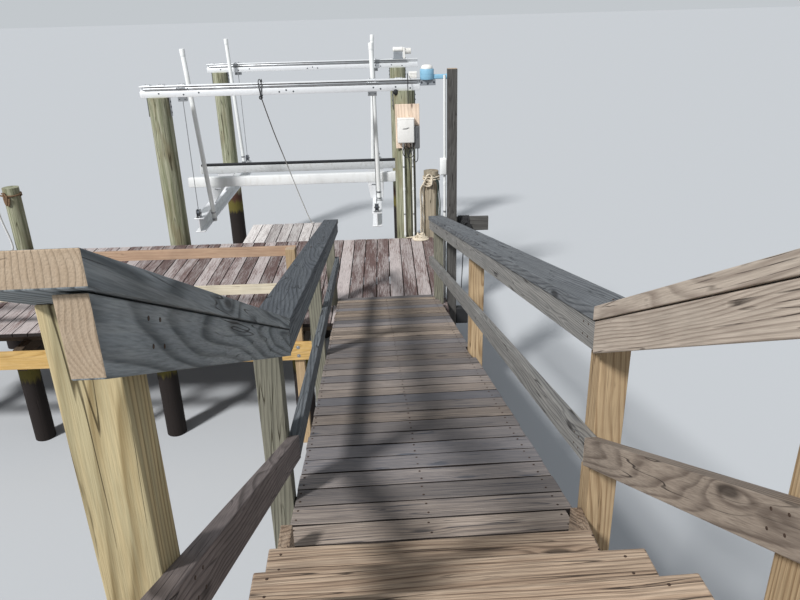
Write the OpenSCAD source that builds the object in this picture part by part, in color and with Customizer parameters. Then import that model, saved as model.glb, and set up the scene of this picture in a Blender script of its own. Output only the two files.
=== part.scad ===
/* [Deck] */
// Height of the deck's top above low water
deck_z = 1300; // [1100:10:1700]
// Length of the deck along the shore
deck_len = 6000; // [4800:20:7000]
// Width of the deck across
deck_wid = 2635; // [2200:5:3000]
// Width of the finger deck inside the lift
finger_wid = 1015; // [700:5:1200]
// Reach of the finger deck past the deck's far edge
finger_out = 850; // [500:10:860]
/* [Ramp] */
// Length of the ramp along its slope
ramp_len = 5000; // [3600:20:6000]
// Slope of the ramp in degrees
ramp_slope = 13; // [8:0.5:16]
// Width of the ramp's boards
ramp_wid = 980; // [800:10:1200]
// Turn of the ramp against the deck in degrees
ramp_yaw = 1.9; // [0:0.1:4]
/* [Stairs] */
// Number of treads above the ramp
treads = 5; // [3:1:6]
// Rise of one tread
rise = 140; // [110:5:180]
// Run of one tread
run = 240; // [230:5:300]
/* [Railing] */
// Height of the railing's cap above the ramp at the stairs
rail_h = 760; // [650:10:1000]
// Height of the top rail of the fence above the deck
fence_h = 790; // [700:10:1000]
/* [Boat lift] */
// Distance between the lift's piles along the shore
lift_len = 3040; // [2800:20:3600]
// Distance between the lift's piles across
lift_wid = 3600; // [3200:20:4200]
// Diameter of a lift pile
pile_d = 265; // [220:5:300]
// Height of the lift's pile tops above the deck
pile_up = 1850; // [1700:10:2200]
// Height of the guide posts above the underside of the cross beams
guide_up = 2260; // [1900:20:2500]

/* [Hidden] */
$fn = 48;
// Sawn timber sizes
board = 38;
two_four = 89;
two_six = 140;
two_eight = 184;
post = 89;
seat = 0.3;
// Place of the ramp's foot, seen from the near right lift pile
foot_x = -303;
foot_y = -2220;
// Deck edges
deck_far = -220;
deck_near = deck_far - deck_wid;
deck_right = 335;
deck_left = deck_right - deck_len;
joist_z = deck_z - board - two_eight;
cap_h = 235;
bent_gap = (deck_len - 440) / 4;
bent_d = 200;
fence_x = [-1155, -3355, deck_left + 60];
// The tall post carries the cross arm, the rope and mooring piles stand at the far edge
post_y = -2370;
arm_z = deck_z + 725;
rope_x = 325;
rope_d = 190;
rope_y = deck_far + rope_d / 2 + seat;
moor_x = deck_left + 610;
moor_y = deck_far + bent_d / 2 + seat;
finger_x = -2170;
finger_end = deck_far + finger_out;
// Ramp numbers, s runs from the foot towards the shore
ramp_s0 = 100;
ramp_lift = 42;
ramp_tan = tan(ramp_slope);
ramp_run = ramp_len * cos(ramp_slope);
s_top = ramp_s0 + ramp_run;
z_top = deck_z + ramp_lift + ramp_run * ramp_tan;
half = ramp_wid / 2 + 5;
stair_slope = rise / run;
stair_end = s_top + 1175;
stair_post_s = s_top + 949;
// Each railing: its corner's distance and height, cap height at the foot, slope at the stairs,
// start of its cap, height of the middle rail at the foot, drop of the middle rail at the corner,
// starts of its foot, middle and corner posts
left_side = [
  s_top - 370, z_top + rail_h - 137, deck_z + 818, stair_slope - 0.088, -30, deck_z + 480, 430,
  [100, s_top * 0.475, s_top - 370 - post / 2]
];
right_side = [
  s_top + 90, z_top + rail_h + 57, deck_z + 823, stair_slope - 0.045, 140, deck_z + 440, 386,
  [180, s_top * 0.5, s_top + 15 - post / 2]
];
// Reach of the ramp's boards past the inner faces of the right posts
board_reach = 35;
// Lift numbers
beam_z = deck_z + pile_up;
beam_h = 140;
beam_w = 110;
beam_end = 200;
cross_z = deck_z + 120;
cross_h = 190;
cross_w = 125;
cross_l = -lift_len + 305;
cross_r = -390;
bunk_z = deck_z + 540;
far_bunk_z = bunk_z + 32;
bunk_h = 133;
bunk_w = 90;
bunk_y1 = finger_end + 120;
bunk_y2 = bunk_y1 + 730;
bunk_x0 = -lift_len + 20;
bunk_x1 = -100;
rope_r = 9;
guide_d = 60;
guide_top = cross_z + guide_up;
pile_at = [[0, 0], [-lift_len, 0], [0, lift_wid], [-lift_len, lift_wid]];
face_y = -pile_d / 2 - seat;
// The dock line hangs from the near beam and is tied to the end of the finger deck
line_d = 14;
line_top = [-1765, 0];
line_mid = [-1540, 240, deck_z + 800];
line_end = [-1336, finger_end - 40, deck_z + 4];

function ramp_at(s) = deck_z + ramp_lift + (s - ramp_s0) * ramp_tan;
function cap_at(s, side) = side[1] - (side[0] - s) * (side[1] - side[2]) / side[0];
function mid_at(s, side) = side[5] + s * (side[1] - side[6] - side[5]) / side[0];
function stair_at(s, side) = side[1] + (s - side[0]) * side[3];
function drop(pts) = [for (p = pts) [p[0], p[1] - seat]];

// Frame of the ramp: x is sideways, -y runs towards the shore
module at_ramp() translate([foot_x, foot_y, 0]) rotate([0, 0, ramp_yaw]) children();
// A plate standing along the ramp, drawn as points of distance and height
module side_plate(t, th, pts) {
  translate([t + th, 0, 0]) rotate([90, 0, -90]) linear_extrude(th) polygon(pts);
}
module box(x0, x1, y0, y1, z0, z1) translate([x0, y0, z0]) cube([x1 - x0, y1 - y0, z1 - z0]);
module rod(x, y, z0, z1, d) translate([x, y, z0]) cylinder(d = d, h = z1 - z0);
module ring(r, t) rotate_extrude() translate([r, 0]) circle(r = t, $fn = 16);

module deck_boards() {
  color("sienna") box(deck_left, deck_right, deck_near, deck_far, deck_z - board, deck_z);
}
module deck_joists() {
  color("peru") for (i = [0:3]) {
    y = deck_near + 350 + i * (deck_wid - 350 - 60) / 3;
    box(deck_left + 20, deck_right - 20, y - board, y, joist_z, deck_z - board);
  }
}
module deck_caps() {
  color("peru") for (i = [0:4]) {
    x = deck_right - 120 - i * bent_gap;
    box(x - 45, x + 45, deck_near + 100, deck_far - 50, joist_z - cap_h, joist_z);
  }
}
module deck_piles() {
  color("tan") for (i = [0:4]) {
    x = deck_right - 120 - i * bent_gap;
    rod(x, deck_near + 210, 0, joist_z - cap_h, bent_d);
    rod(x, deck_far - 170, 0, joist_z - cap_h, bent_d);
  }
}
module far_waler() {
  color("peru") box(-lift_len - 200, 215, deck_far, -pile_d / 2 - seat, joist_z, deck_z - board);
}
module finger_boards() {
  color("sienna") box(finger_x, finger_x + finger_wid, deck_far, finger_end, deck_z - board, deck_z);
}
module finger_frame() {
  x = finger_x;
  y = finger_end;
  z = deck_z - board;
  color("peru") {
    box(x + 10, x + finger_wid - 10, y - 60, y - 60 + board, z - two_four, z);
    box(x + 10, x + 10 + board, -pile_d / 2, y - 60 - seat, z - two_four, z);
    box(x + finger_wid - 10 - board, x + finger_wid - 10, -pile_d / 2, y - 60 - seat, z - two_four, z);
    rod(x + 130, y - 140, 0, z, 120);
    rod(x + finger_wid - 130, y - 140, 0, z, 120);
  }
}
module ramp_boards() {
  color("gray") at_ramp() difference() {
    translate([0, -ramp_s0, deck_z + ramp_lift]) rotate([-ramp_slope, 0, 0])
      translate([-ramp_wid / 2, -ramp_len, -board]) cube([ramp_wid + board_reach, ramp_len, board]);
    for (s = right_side[7]) translate([half - seat, -s - post - seat, 0])
      cube([post, post + 2 * seat, z_top + 1]);
  }
}
module ramp_stringers() {
  up = (board + seat) / cos(ramp_slope);
  deep = two_eight / cos(ramp_slope);
  s_low = ramp_s0 + (up - ramp_lift) / ramp_tan + 60;
  s_flat = ramp_s0 + (up + deep - ramp_lift) / ramp_tan;
  pts = [
    [s_low, deck_z], [s_flat, deck_z], [s_top, ramp_at(s_top) - up - deep],
    [s_top, ramp_at(s_top) - up], [s_low, ramp_at(s_low) - up]
  ];
  color("dimgray") at_ramp() for (t = [-half, -board / 2, half - board]) side_plate(t, board, pts);
}
module stair_treads() {
  color("gray") at_ramp() for (k = [0:treads - 1]) {
    s = s_top + 157 + k * run;
    w0 = k < 3 ? ramp_wid / 2 + 25 : ramp_wid / 2;
    w1 = k == 0 ? ramp_wid / 2 - 10 : (k < 3 ? ramp_wid / 2 + 30 + 20 * k : ramp_wid / 2);
    z = z_top + (k + 1) * rise;
    box(-w0, w1, -s - run - 8, -s, z - board, z);
  }
}
module stair_stringers() {
  z = z_top - board;
  s = s_top + 167;
  low = z - 190;
  end = s + treads * run - 12;
  steps = [for (k = [0:treads - 1]) each [
    [s + k * run, z + (k + 1) * rise], [s + (k + 1) * run - 12 * floor((k + 1) / treads), z + (k + 1) * rise]
  ]];
  pts = concat([[s_top + 12, low], [s_top + 12, z + rise]], steps, [[end, low + (end - s_top) * rise / run]]);
  color("dimgray") at_ramp() for (t = [-half, half - board]) side_plate(t, board, pts);
}
module rail_post(t, s, side) {
  base = s < 600 ? deck_z : 0;
  top = drop([[s + post, cap_at(s + post, side)], [s, cap_at(s, side)]]);
  side_plate(t, post, concat([[s, base], [s + post, base]], top));
}
module corner_post(t, side) {
  m = side[0];
  a = side[7][2];
  b = a + post;
  high = b > m ? [[b, stair_at(b, side)], [m, side[1]]] : [[b, cap_at(b, side)]];
  side_plate(t, post, concat([[a, 0], [b, 0]], drop(concat(high, [[a, cap_at(a, side)]]))));
}
module posts(t, side) {
  c = stair_post_s;
  d = c + post;
  rail_post(t, side[7][0], side);
  rail_post(t, side[7][1], side);
  corner_post(t, side);
  side_plate(t, post, concat([[c, 0], [d, 0]], drop([[d, stair_at(d, side)], [c, stair_at(c, side)]])));
}
module left_posts() {
  color("khaki") at_ramp() posts(-half - post, left_side);
}
module right_posts() {
  color("khaki") at_ramp() posts(half, right_side);
}
module caps(t, side) {
  e = stair_end + 15;
  m = side[0];
  c = m - seat;
  s0 = side[4];
  ch = board * 1.027;
  cs = board * sqrt(1 + side[3] * side[3]);
  side_plate(t, two_six, [
    [s0, cap_at(s0, side)], [c, cap_at(c, side)], [c, cap_at(c, side) + ch], [s0, cap_at(s0, side) + ch]
  ]);
  side_plate(t, two_six, [
    [m, side[1]], [e, stair_at(e, side)], [e, stair_at(e, side) + cs], [m, side[1] + cs]
  ]);
}
module left_caps() {
  color("silver") at_ramp() caps(-half + 45 - two_six, left_side);
}
module right_caps() {
  color("silver") at_ramp() caps(half - 45, right_side);
}
module rail_pair(t, side) {
  h = two_four * 1.027;
  hs = two_four * sqrt(1 + side[3] * side[3]);
  m = side[0];
  c = m - seat;
  e = stair_end;
  s0 = side[4] + 10;
  mz = side[1] - side[6];
  me = mz + (e - m) * side[3];
  side_plate(t, board, drop([
    [s0, cap_at(s0, side) - h], [c, cap_at(c, side) - h], [c, cap_at(c, side)], [s0, cap_at(s0, side)]
  ]));
  side_plate(t, board, drop([
    [m, side[1] - hs], [e, stair_at(e, side) - hs], [e, stair_at(e, side)], [m, side[1]]
  ]));
  side_plate(t, board, [
    [90, mid_at(90, side) - h], [c, mid_at(c, side) - h], [c, mid_at(c, side)], [90, mid_at(90, side)]
  ]);
  side_plate(t, board, [[m, mz - hs], [e, me - hs], [e, me], [m, mz]]);
}
module left_rails() {
  color("darkgray") at_ramp() rail_pair(-half, left_side);
}
module right_rails() {
  color("darkgray") at_ramp() rail_pair(half - board, right_side);
}
module fence_posts() {
  color("khaki") for (x = fence_x) box(x - 45, x + 44, deck_near - post, deck_near, 0, deck_z + fence_h);
}
module fence_rails() {
  color("wheat") for (z = [fence_h - two_four, fence_h - 372 - two_four])
    box(deck_left + 15, -1111, deck_near, deck_near + board, deck_z + z, deck_z + z + two_four);
}
module lower_waler() {
  color("wheat") box(deck_left + 15, -1000, deck_near - post - board, deck_near - post,
                     deck_z - 324, deck_z - 140);
}
module tall_post() {
  color("dimgray") box(deck_right, deck_right + post, post_y - 45, post_y + 44, 0, deck_z + 2280);
}
module cross_arm() {
  color("gray") box(deck_right, deck_right + 415, post_y + 44, post_y + 44 + board, arm_z, arm_z + two_six);
}
module conduits() {
  y = post_y + 58;
  color("white") {
    rod(-25, face_y - 32, deck_z, deck_z + 1240 - seat, 25);
    rod(90, face_y - 32, deck_z, deck_z + 1240 - seat, 20);
    rod(deck_right - 20, y, deck_z, deck_z + 2220, 24);
    box(deck_right - 66, deck_right - seat, y - 34, y + 16, deck_z + 1296, deck_z + 1459);
  }
}
module post_block() {
  x = deck_right + post + seat;
  color("black") box(x, x + 122, post_y - 45, post_y + 30, deck_z - 253, deck_z - 77);
}
module rope_pile() {
  color("tan") rod(rope_x, rope_y, 0, deck_z + 860, rope_d);
}
module mooring_pile() {
  color("tan") rod(moor_x, moor_y, 0, deck_z + 810, bent_d);
}
module mooring_rope() {
  color("beige") {
    for (i = [0:8]) translate([rope_x, rope_y, deck_z + 560 + i * 26])
      ring(rope_d / 2 + rope_r + seat, rope_r);
    for (i = [0:2]) translate([moor_x, moor_y, deck_z + 640 + i * 20])
      ring(bent_d / 2 + rope_r + seat, rope_r);
    for (i = [0:3]) translate([deck_right - 110, deck_far - 120, deck_z + rope_r])
      ring(92 - i * 20, rope_r);
  }
}
module arm_rope() {
  color("black") for (i = [0:4]) {
    x = deck_right + 125 + i * 24;
    y0 = post_y + 44 - 12;
    z0 = arm_z - 12;
    difference() {
      box(x, x + 20, y0, y0 + board + 24, z0, z0 + two_six + 24);
      box(x - 1, x + 21, y0 + 12 - seat, y0 + 12 + board + seat, z0 + 12 - seat, z0 + 12 + two_six + seat);
    }
  }
}
module lift_piles() {
  color("darkkhaki") for (p = pile_at) rod(p[0], p[1], 0, beam_z, pile_d);
}
module pile_brackets() {
  color("silver") for (p = pile_at) for (m = [0, 1]) translate([p[0], p[1], 0]) mirror([m, 0, 0])
    box(pile_d / 2 + seat, pile_d / 2 + 8, -32, 32, beam_z - 230, beam_z - seat);
}
module top_beam(x1) {
  difference() {
    box(-lift_len - 205, x1, -beam_w / 2, beam_w / 2, beam_z, beam_z + beam_h);
    for (m = [0, 1]) mirror([0, m, 0])
      box(-lift_len - 206, x1 + 1, 14, beam_w, beam_z + 76, beam_z + beam_h - 14);
  }
}
module near_beam() {
  color("white") top_beam(beam_end);
}
module far_beam() {
  color("white") translate([0, lift_wid, 0]) top_beam(350);
}
module winder_pipes() {
  color("silver") for (y = [0, lift_wid])
    translate([-lift_len - 160, y - 33 - seat, beam_z + 100]) rotate([0, 90, 0])
      cylinder(d = 38, h = lift_len + 330);
}
module drum(x0, x1, z, d) translate([x0, 0, z]) rotate([0, 90, 0]) cylinder(d = d, h = x1 - x0);
module near_drive() {
  top = beam_z + beam_h;
  color("lightblue") {
    box(66, 169, -beam_w / 2, beam_w / 2 - 10, top, top + 80);
    box(beam_end + seat, 396, -45, 45, top - 87, top - 22);
    drum(228, 353, top + 65, 185);
    box(340, 540, -28, 28, top - 17, top + 38);
  }
}
module far_drive() {
  top = beam_z + beam_h;
  color("white") translate([0, lift_wid, 0]) {
    box(-60, 85, -50, 50, top, top + 115);
    drum(-70, 104, top + 150, 84);
    box(103, 139, -62, 62, top, top + 178);
    drum(138, 241, top + 120, 106);
  }
}
module control_board() {
  color("burlywood") box(-115, 185, face_y - 18, face_y, deck_z + 1160, deck_z + 1700);
}
module control_boxes() {
  color("whitesmoke") {
    box(-95, 115, face_y - 138, face_y - 18, deck_z + 1240, deck_z + 1540);
    box(115 + seat, 178, face_y - 110, face_y - 18, deck_z + 1165, deck_z + 1440);
  }
}
module span(a, b, d) {
  v = b - a;
  l = norm(v);
  translate(a) rotate([0, acos(v[2] / l), atan2(v[1], v[0])]) cylinder(d = d, h = l, $fn = 16);
}
module dock_line() {
  g = beam_w / 2 + rope_r;
  z0 = beam_z - rope_r;
  z1 = beam_z + beam_h + rope_r;
  color("dimgray") {
    translate([line_top[0], line_top[1], 0]) difference() {
      box(-rope_r, rope_r, -g, g, z0, z1);
      box(-20, 20, -beam_w / 2 - seat, beam_w / 2 + seat, beam_z - seat, beam_z + beam_h + seat);
    }
    span([line_top[0], -g, z0 - 2.7], line_mid, line_d);
    span(line_mid + [0.5, 1, -2.4], line_end, line_d);
  }
}
module lift_cables() {
  color("gray") for (x = [cross_l, cross_r]) for (y = [-30, lift_wid + 30])
    rod(x, y, cross_z + cross_h + 112 + seat, beam_z - seat, 9);
}
module i_beam(x) {
  difference() {
    box(x - cross_w / 2, x + cross_w / 2, -70, lift_wid + 70, cross_z, cross_z + cross_h);
    for (m = [-1, 1]) translate([x + m * (cross_w / 4 + 6), 0, 0])
      box(-cross_w / 4, cross_w / 4, -71, lift_wid + 71, cross_z + 14, cross_z + cross_h - 14);
  }
}
module cross_beams() {
  color("white") {
    i_beam(cross_l);
    i_beam(cross_r);
  }
}
module sheave_blocks() {
  z = cross_z + cross_h;
  color("silver") for (x = [cross_l, cross_r]) for (y = [-30, lift_wid + 30]) {
    for (m = [-1, 1]) box(x + m * 22 - 4, x + m * 22 + 4, y - 35, y + 35, z + seat, z + 110);
    translate([x - 17.5, y, z + 62]) rotate([0, 90, 0]) cylinder(d = 100, h = 35);
  }
}
// Gusset plates of one bunk: slim towards the left cross beam's foot, wide on the right one
module gussets(y, z1) {
  z0 = cross_z + cross_h + seat;
  for (d = [-bunk_w / 2 + 12, bunk_w / 2 - 12]) translate([0, y + d + 6, 0]) rotate([90, 0, 0]) {
    translate([cross_l, 0, 0]) linear_extrude(12) polygon([[-40, z0], [40, z0], [212, z1], [-40, z1]]);
    translate([cross_r, 0, 0]) linear_extrude(12) polygon([[-90, z0], [88, z0], [100, z1], [-128, z1]]);
  }
}
module bunk_brackets() {
  color("white") {
    gussets(bunk_y1, bunk_z);
    gussets(bunk_y2, far_bunk_z);
  }
}
module bunk(y, z) {
  box(bunk_x0, bunk_x1, y - bunk_w / 2, y + bunk_w / 2, z, z + bunk_h);
}
module near_bunk() {
  color("white") bunk(bunk_y1, bunk_z);
}
module far_bunk() {
  color("beige") bunk(bunk_y2, far_bunk_z);
}
module guide(x, y, z, lean) {
  translate([x, y, z]) rotate([0, -lean, 0]) cylinder(d = guide_d, h = (guide_top - z) / cos(lean));
}
module guide_posts() {
  low = cross_z + 30;
  high = cross_z + cross_h + seat;
  off = cross_w / 2 + guide_d / 2 + seat;
  near_y = finger_end - 270;
  far_y = lift_wid - 160;
  color("white") {
    guide(cross_l + off + (high - low) * tan(3.5), near_y, low, 3.5);
    guide(cross_r + 32, bunk_y1 - 170, high + 0.6, 1.1);
    guide(cross_l - 31, far_y, high + 1.2, 2.2);
    guide(cross_r - off - (high - low) * tan(1.9), far_y, low, -1.9);
  }
}

deck_boards();
deck_joists();
deck_caps();
deck_piles();
far_waler();
finger_boards();
finger_frame();
ramp_boards();
ramp_stringers();
stair_treads();
stair_stringers();
left_posts();
right_posts();
left_caps();
right_caps();
left_rails();
right_rails();
fence_posts();
fence_rails();
lower_waler();
tall_post();
cross_arm();
conduits();
post_block();
rope_pile();
mooring_pile();
mooring_rope();
arm_rope();
lift_piles();
pile_brackets();
near_beam();
far_beam();
winder_pipes();
near_drive();
far_drive();
control_board();
control_boxes();
dock_line();
lift_cables();
cross_beams();
sheave_blocks();
bunk_brackets();
near_bunk();
far_bunk();
guide_posts();
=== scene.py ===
"""Looks of a wooden jetty with a ramp, steps, railings, a fence and a boat lift."""
import functools
import math
import random

import bpy
from mathutils import Matrix, Vector


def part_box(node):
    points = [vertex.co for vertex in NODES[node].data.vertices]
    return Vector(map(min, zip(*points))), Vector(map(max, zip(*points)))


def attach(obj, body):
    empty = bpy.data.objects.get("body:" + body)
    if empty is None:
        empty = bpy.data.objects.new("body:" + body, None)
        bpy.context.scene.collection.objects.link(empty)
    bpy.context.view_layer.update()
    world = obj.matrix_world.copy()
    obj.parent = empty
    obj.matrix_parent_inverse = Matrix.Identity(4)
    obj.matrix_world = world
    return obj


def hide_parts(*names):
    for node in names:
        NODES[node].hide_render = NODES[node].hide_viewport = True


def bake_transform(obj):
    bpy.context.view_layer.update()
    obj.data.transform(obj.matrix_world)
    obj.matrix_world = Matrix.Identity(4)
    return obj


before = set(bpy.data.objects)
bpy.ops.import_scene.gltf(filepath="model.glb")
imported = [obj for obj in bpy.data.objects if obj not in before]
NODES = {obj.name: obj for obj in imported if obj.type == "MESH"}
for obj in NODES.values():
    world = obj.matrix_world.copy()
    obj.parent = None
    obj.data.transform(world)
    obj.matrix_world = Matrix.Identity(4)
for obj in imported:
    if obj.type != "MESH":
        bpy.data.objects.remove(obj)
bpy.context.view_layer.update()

bl_info = {
    "name": "Wooden jetty",
    "version": (1, 0, 0),
    "blender": (4, 5, 0),
    "location": "3D View > Sidebar > Jetty",
    "description": "Boards, railings, ropes and boat lift of a wooden jetty",
    "category": "Object",
}

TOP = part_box("deck_boards")[1][2]
UP = (0, 0, 1)
RIGHT = (1, 0, 0)
SHOREWARD = (0, -1, 0)
BOARD = 0.038
POST = 0.089
# the ramp and the steps: their foot on the deck, their turn against it, and their slope
FOOT = Vector((-0.303, -2.220, 0.0))
YAW = math.radians(1.9)
SLOPE = math.radians(13.0)
RAMP_START = 0.100
RAMP_LIFT = 0.042
RAMP_LENGTH = 5.0
RAMP_BOARDS = 34
STAIR_START = RAMP_START + RAMP_LENGTH * math.cos(SLOPE)
STAIR_FOOT_Z = TOP + RAMP_LIFT + RAMP_LENGTH * math.sin(SLOPE)
TREADS = 5
RISE = 0.140
RUN = 0.240
# a level frame at the ramp's foot, and the ramp's own frame: x runs across it, -y up it towards the shore
AT_FOOT = Matrix.Translation(FOOT) @ Matrix.Rotation(YAW, 4, "Z")
ON_RAMP = AT_FOOT @ Matrix.Translation((0, -RAMP_START, TOP + RAMP_LIFT)) @ Matrix.Rotation(-SLOPE, 4, "X")
RIGHT_POSTS = (0.180, 2.486, 4.942)
LEFT_POSTS = (0.100, 2.362, 4.557)
STAIR_POST = 5.921
HALF = 0.495
# each railing: corner's distance and height, cap height at the foot, slope at the stairs, middle rail's
# height at the foot, its drop at the corner
RAILING = {
    -1: (STAIR_START - 0.370, STAIR_FOOT_Z + 0.623, TOP + 0.818, RISE / RUN - 0.088, TOP + 0.480, 0.430),
    1: (STAIR_START + 0.090, STAIR_FOOT_Z + 0.817, TOP + 0.823, RISE / RUN - 0.045, TOP + 0.440, 0.386),
}
JOIST_Y = (-2.524, -1.782, -1.041, -0.299)
FENCE_X = (-1.155, -3.355, -5.605)
FACE_Y = -0.1328
ROPE_PILE = (0.325, -0.1247)
MOORING_PILE = (-5.055, -0.1197)
# the lift: underside, height and half width of its top beams, then the cradle
PILES = [(0.0, 0.0), (-3.04, 0.0), (0.0, 3.6), (-3.04, 3.6)]
BEAM_Y = (0.0, 3.6)
BEAM_Z = 3.15
BEAM_TOP = BEAM_Z + 0.140
BEAM_HALF = 0.055
PIPE_Y = -0.0333
PIPE_Z = BEAM_Z + 0.1
CABLE_Y = (-0.030, 3.630)
CROSS_X = (-2.735, -0.390)
CABLES = [(x, y) for x in CROSS_X for y in CABLE_Y]
CROSS_TOP = 1.42 + 0.19
SHEAVE_TOP = CROSS_TOP + 0.104
BUNK_X = (-3.020, -0.100)
BUNK_Y = (0.75, 1.48)
BUNK_Z = (1.840, 1.872)
BUNK_H = 0.133
# base and lean to the left, in degrees, of each guide post
GUIDES = (((-2.6324, 0.36, 1.450), 3.5), ((-0.358, 0.58, 1.6109), 1.1),
          ((-2.766, 3.44, 1.6115), 2.2), ((-0.4881, 3.44, 1.450), -1.9))
GUIDE_TOP = 3.680
GUIDE_R = 0.030
# radii and real lengths of the ropes and leads that hang free
DOCK_LINE_R, DOCK_LINE = 0.0065, 2.00
PALE_LINE_R, PALE_LINE = 0.0135, 0.72
GREEN_LINE_R, GREEN_LINES = 0.005, 0.78
LEAD_R, LEAD_LENGTHS = 0.0055, (1.74, 1.78, 0.45, 0.41)


class JettySizes(bpy.types.PropertyGroup):
    """Sizes of the boards and the small parts that the CAD solids don't hold"""

    board_pitch: bpy.props.FloatProperty(
        name="Board pitch", description="Distance from one deck board to the next",
        default=0.1455, min=0.12, max=0.18, unit="LENGTH", subtype="DISTANCE")
    board_gap: bpy.props.FloatProperty(
        name="Board gap", description="Open joint between two boards",
        default=0.008, min=0.002, max=0.015, unit="LENGTH", subtype="DISTANCE")
    arris: bpy.props.FloatProperty(
        name="Eased edge", description="Width of the worn edge of sawn timber",
        default=0.004, min=0.001, max=0.01, unit="LENGTH", subtype="DISTANCE")
    screw_head: bpy.props.FloatProperty(
        name="Screw head", description="Diameter of the deck screws' heads",
        default=0.009, min=0.006, max=0.014, unit="LENGTH", subtype="DISTANCE")
    rope_size: bpy.props.FloatProperty(
        name="Rope", description="Diameter of the mooring rope",
        default=0.018, min=0.01, max=0.03, unit="LENGTH", subtype="DISTANCE")


class JettyColours(bpy.types.PropertyGroup):
    """Main colours of the jetty's finishes"""

    floor: bpy.props.FloatVectorProperty(
        name="Floor", description="Colour of the studio floor",
        default=(0.50, 0.515, 0.53), size=3, min=0.0, max=1.0, subtype="COLOR")
    aluminium: bpy.props.FloatVectorProperty(
        name="Aluminium", description="Colour of the boat lift's beams",
        default=(0.80, 0.81, 0.82), size=3, min=0.0, max=1.0, subtype="COLOR")


# Colours and nodes


def tone(text):
    """An sRGB colour written as six hex digits, as linear numbers with alpha."""
    parts = [int(text[i:i + 2], 16) / 255 for i in (0, 2, 4)]
    return tuple(c / 12.92 if c <= 0.04045 else ((c + 0.055) / 1.055) ** 2.4 for c in parts) + (1.0,)


def add(tree, kind, inputs, **settings):
    """Adds a shader node. Inputs are values, sockets, or nodes, which give their first open output."""
    made = tree.nodes.new("ShaderNode" + kind)
    for key, value in settings.items():
        setattr(made, key, value)
    for key, value in inputs.items():
        if isinstance(value, bpy.types.Node):
            value = next(socket for socket in value.outputs if socket.enabled)
        if isinstance(value, bpy.types.NodeSocket):
            tree.links.new(value, made.inputs[key])
        else:
            made.inputs[key].default_value = value
    return made


def emptied(owner):
    """A material or world with no nodes, and the function that adds nodes to it."""
    owner.use_nodes = True
    owner.node_tree.nodes.clear()
    return owner, functools.partial(add, owner.node_tree)


def close(mat, inputs):
    """Ends a material with its shader and output, and gives it back."""
    shader = add(mat.node_tree, "BsdfPrincipled", inputs)
    add(mat.node_tree, "OutputMaterial", {"Surface": shader})
    return mat


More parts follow.
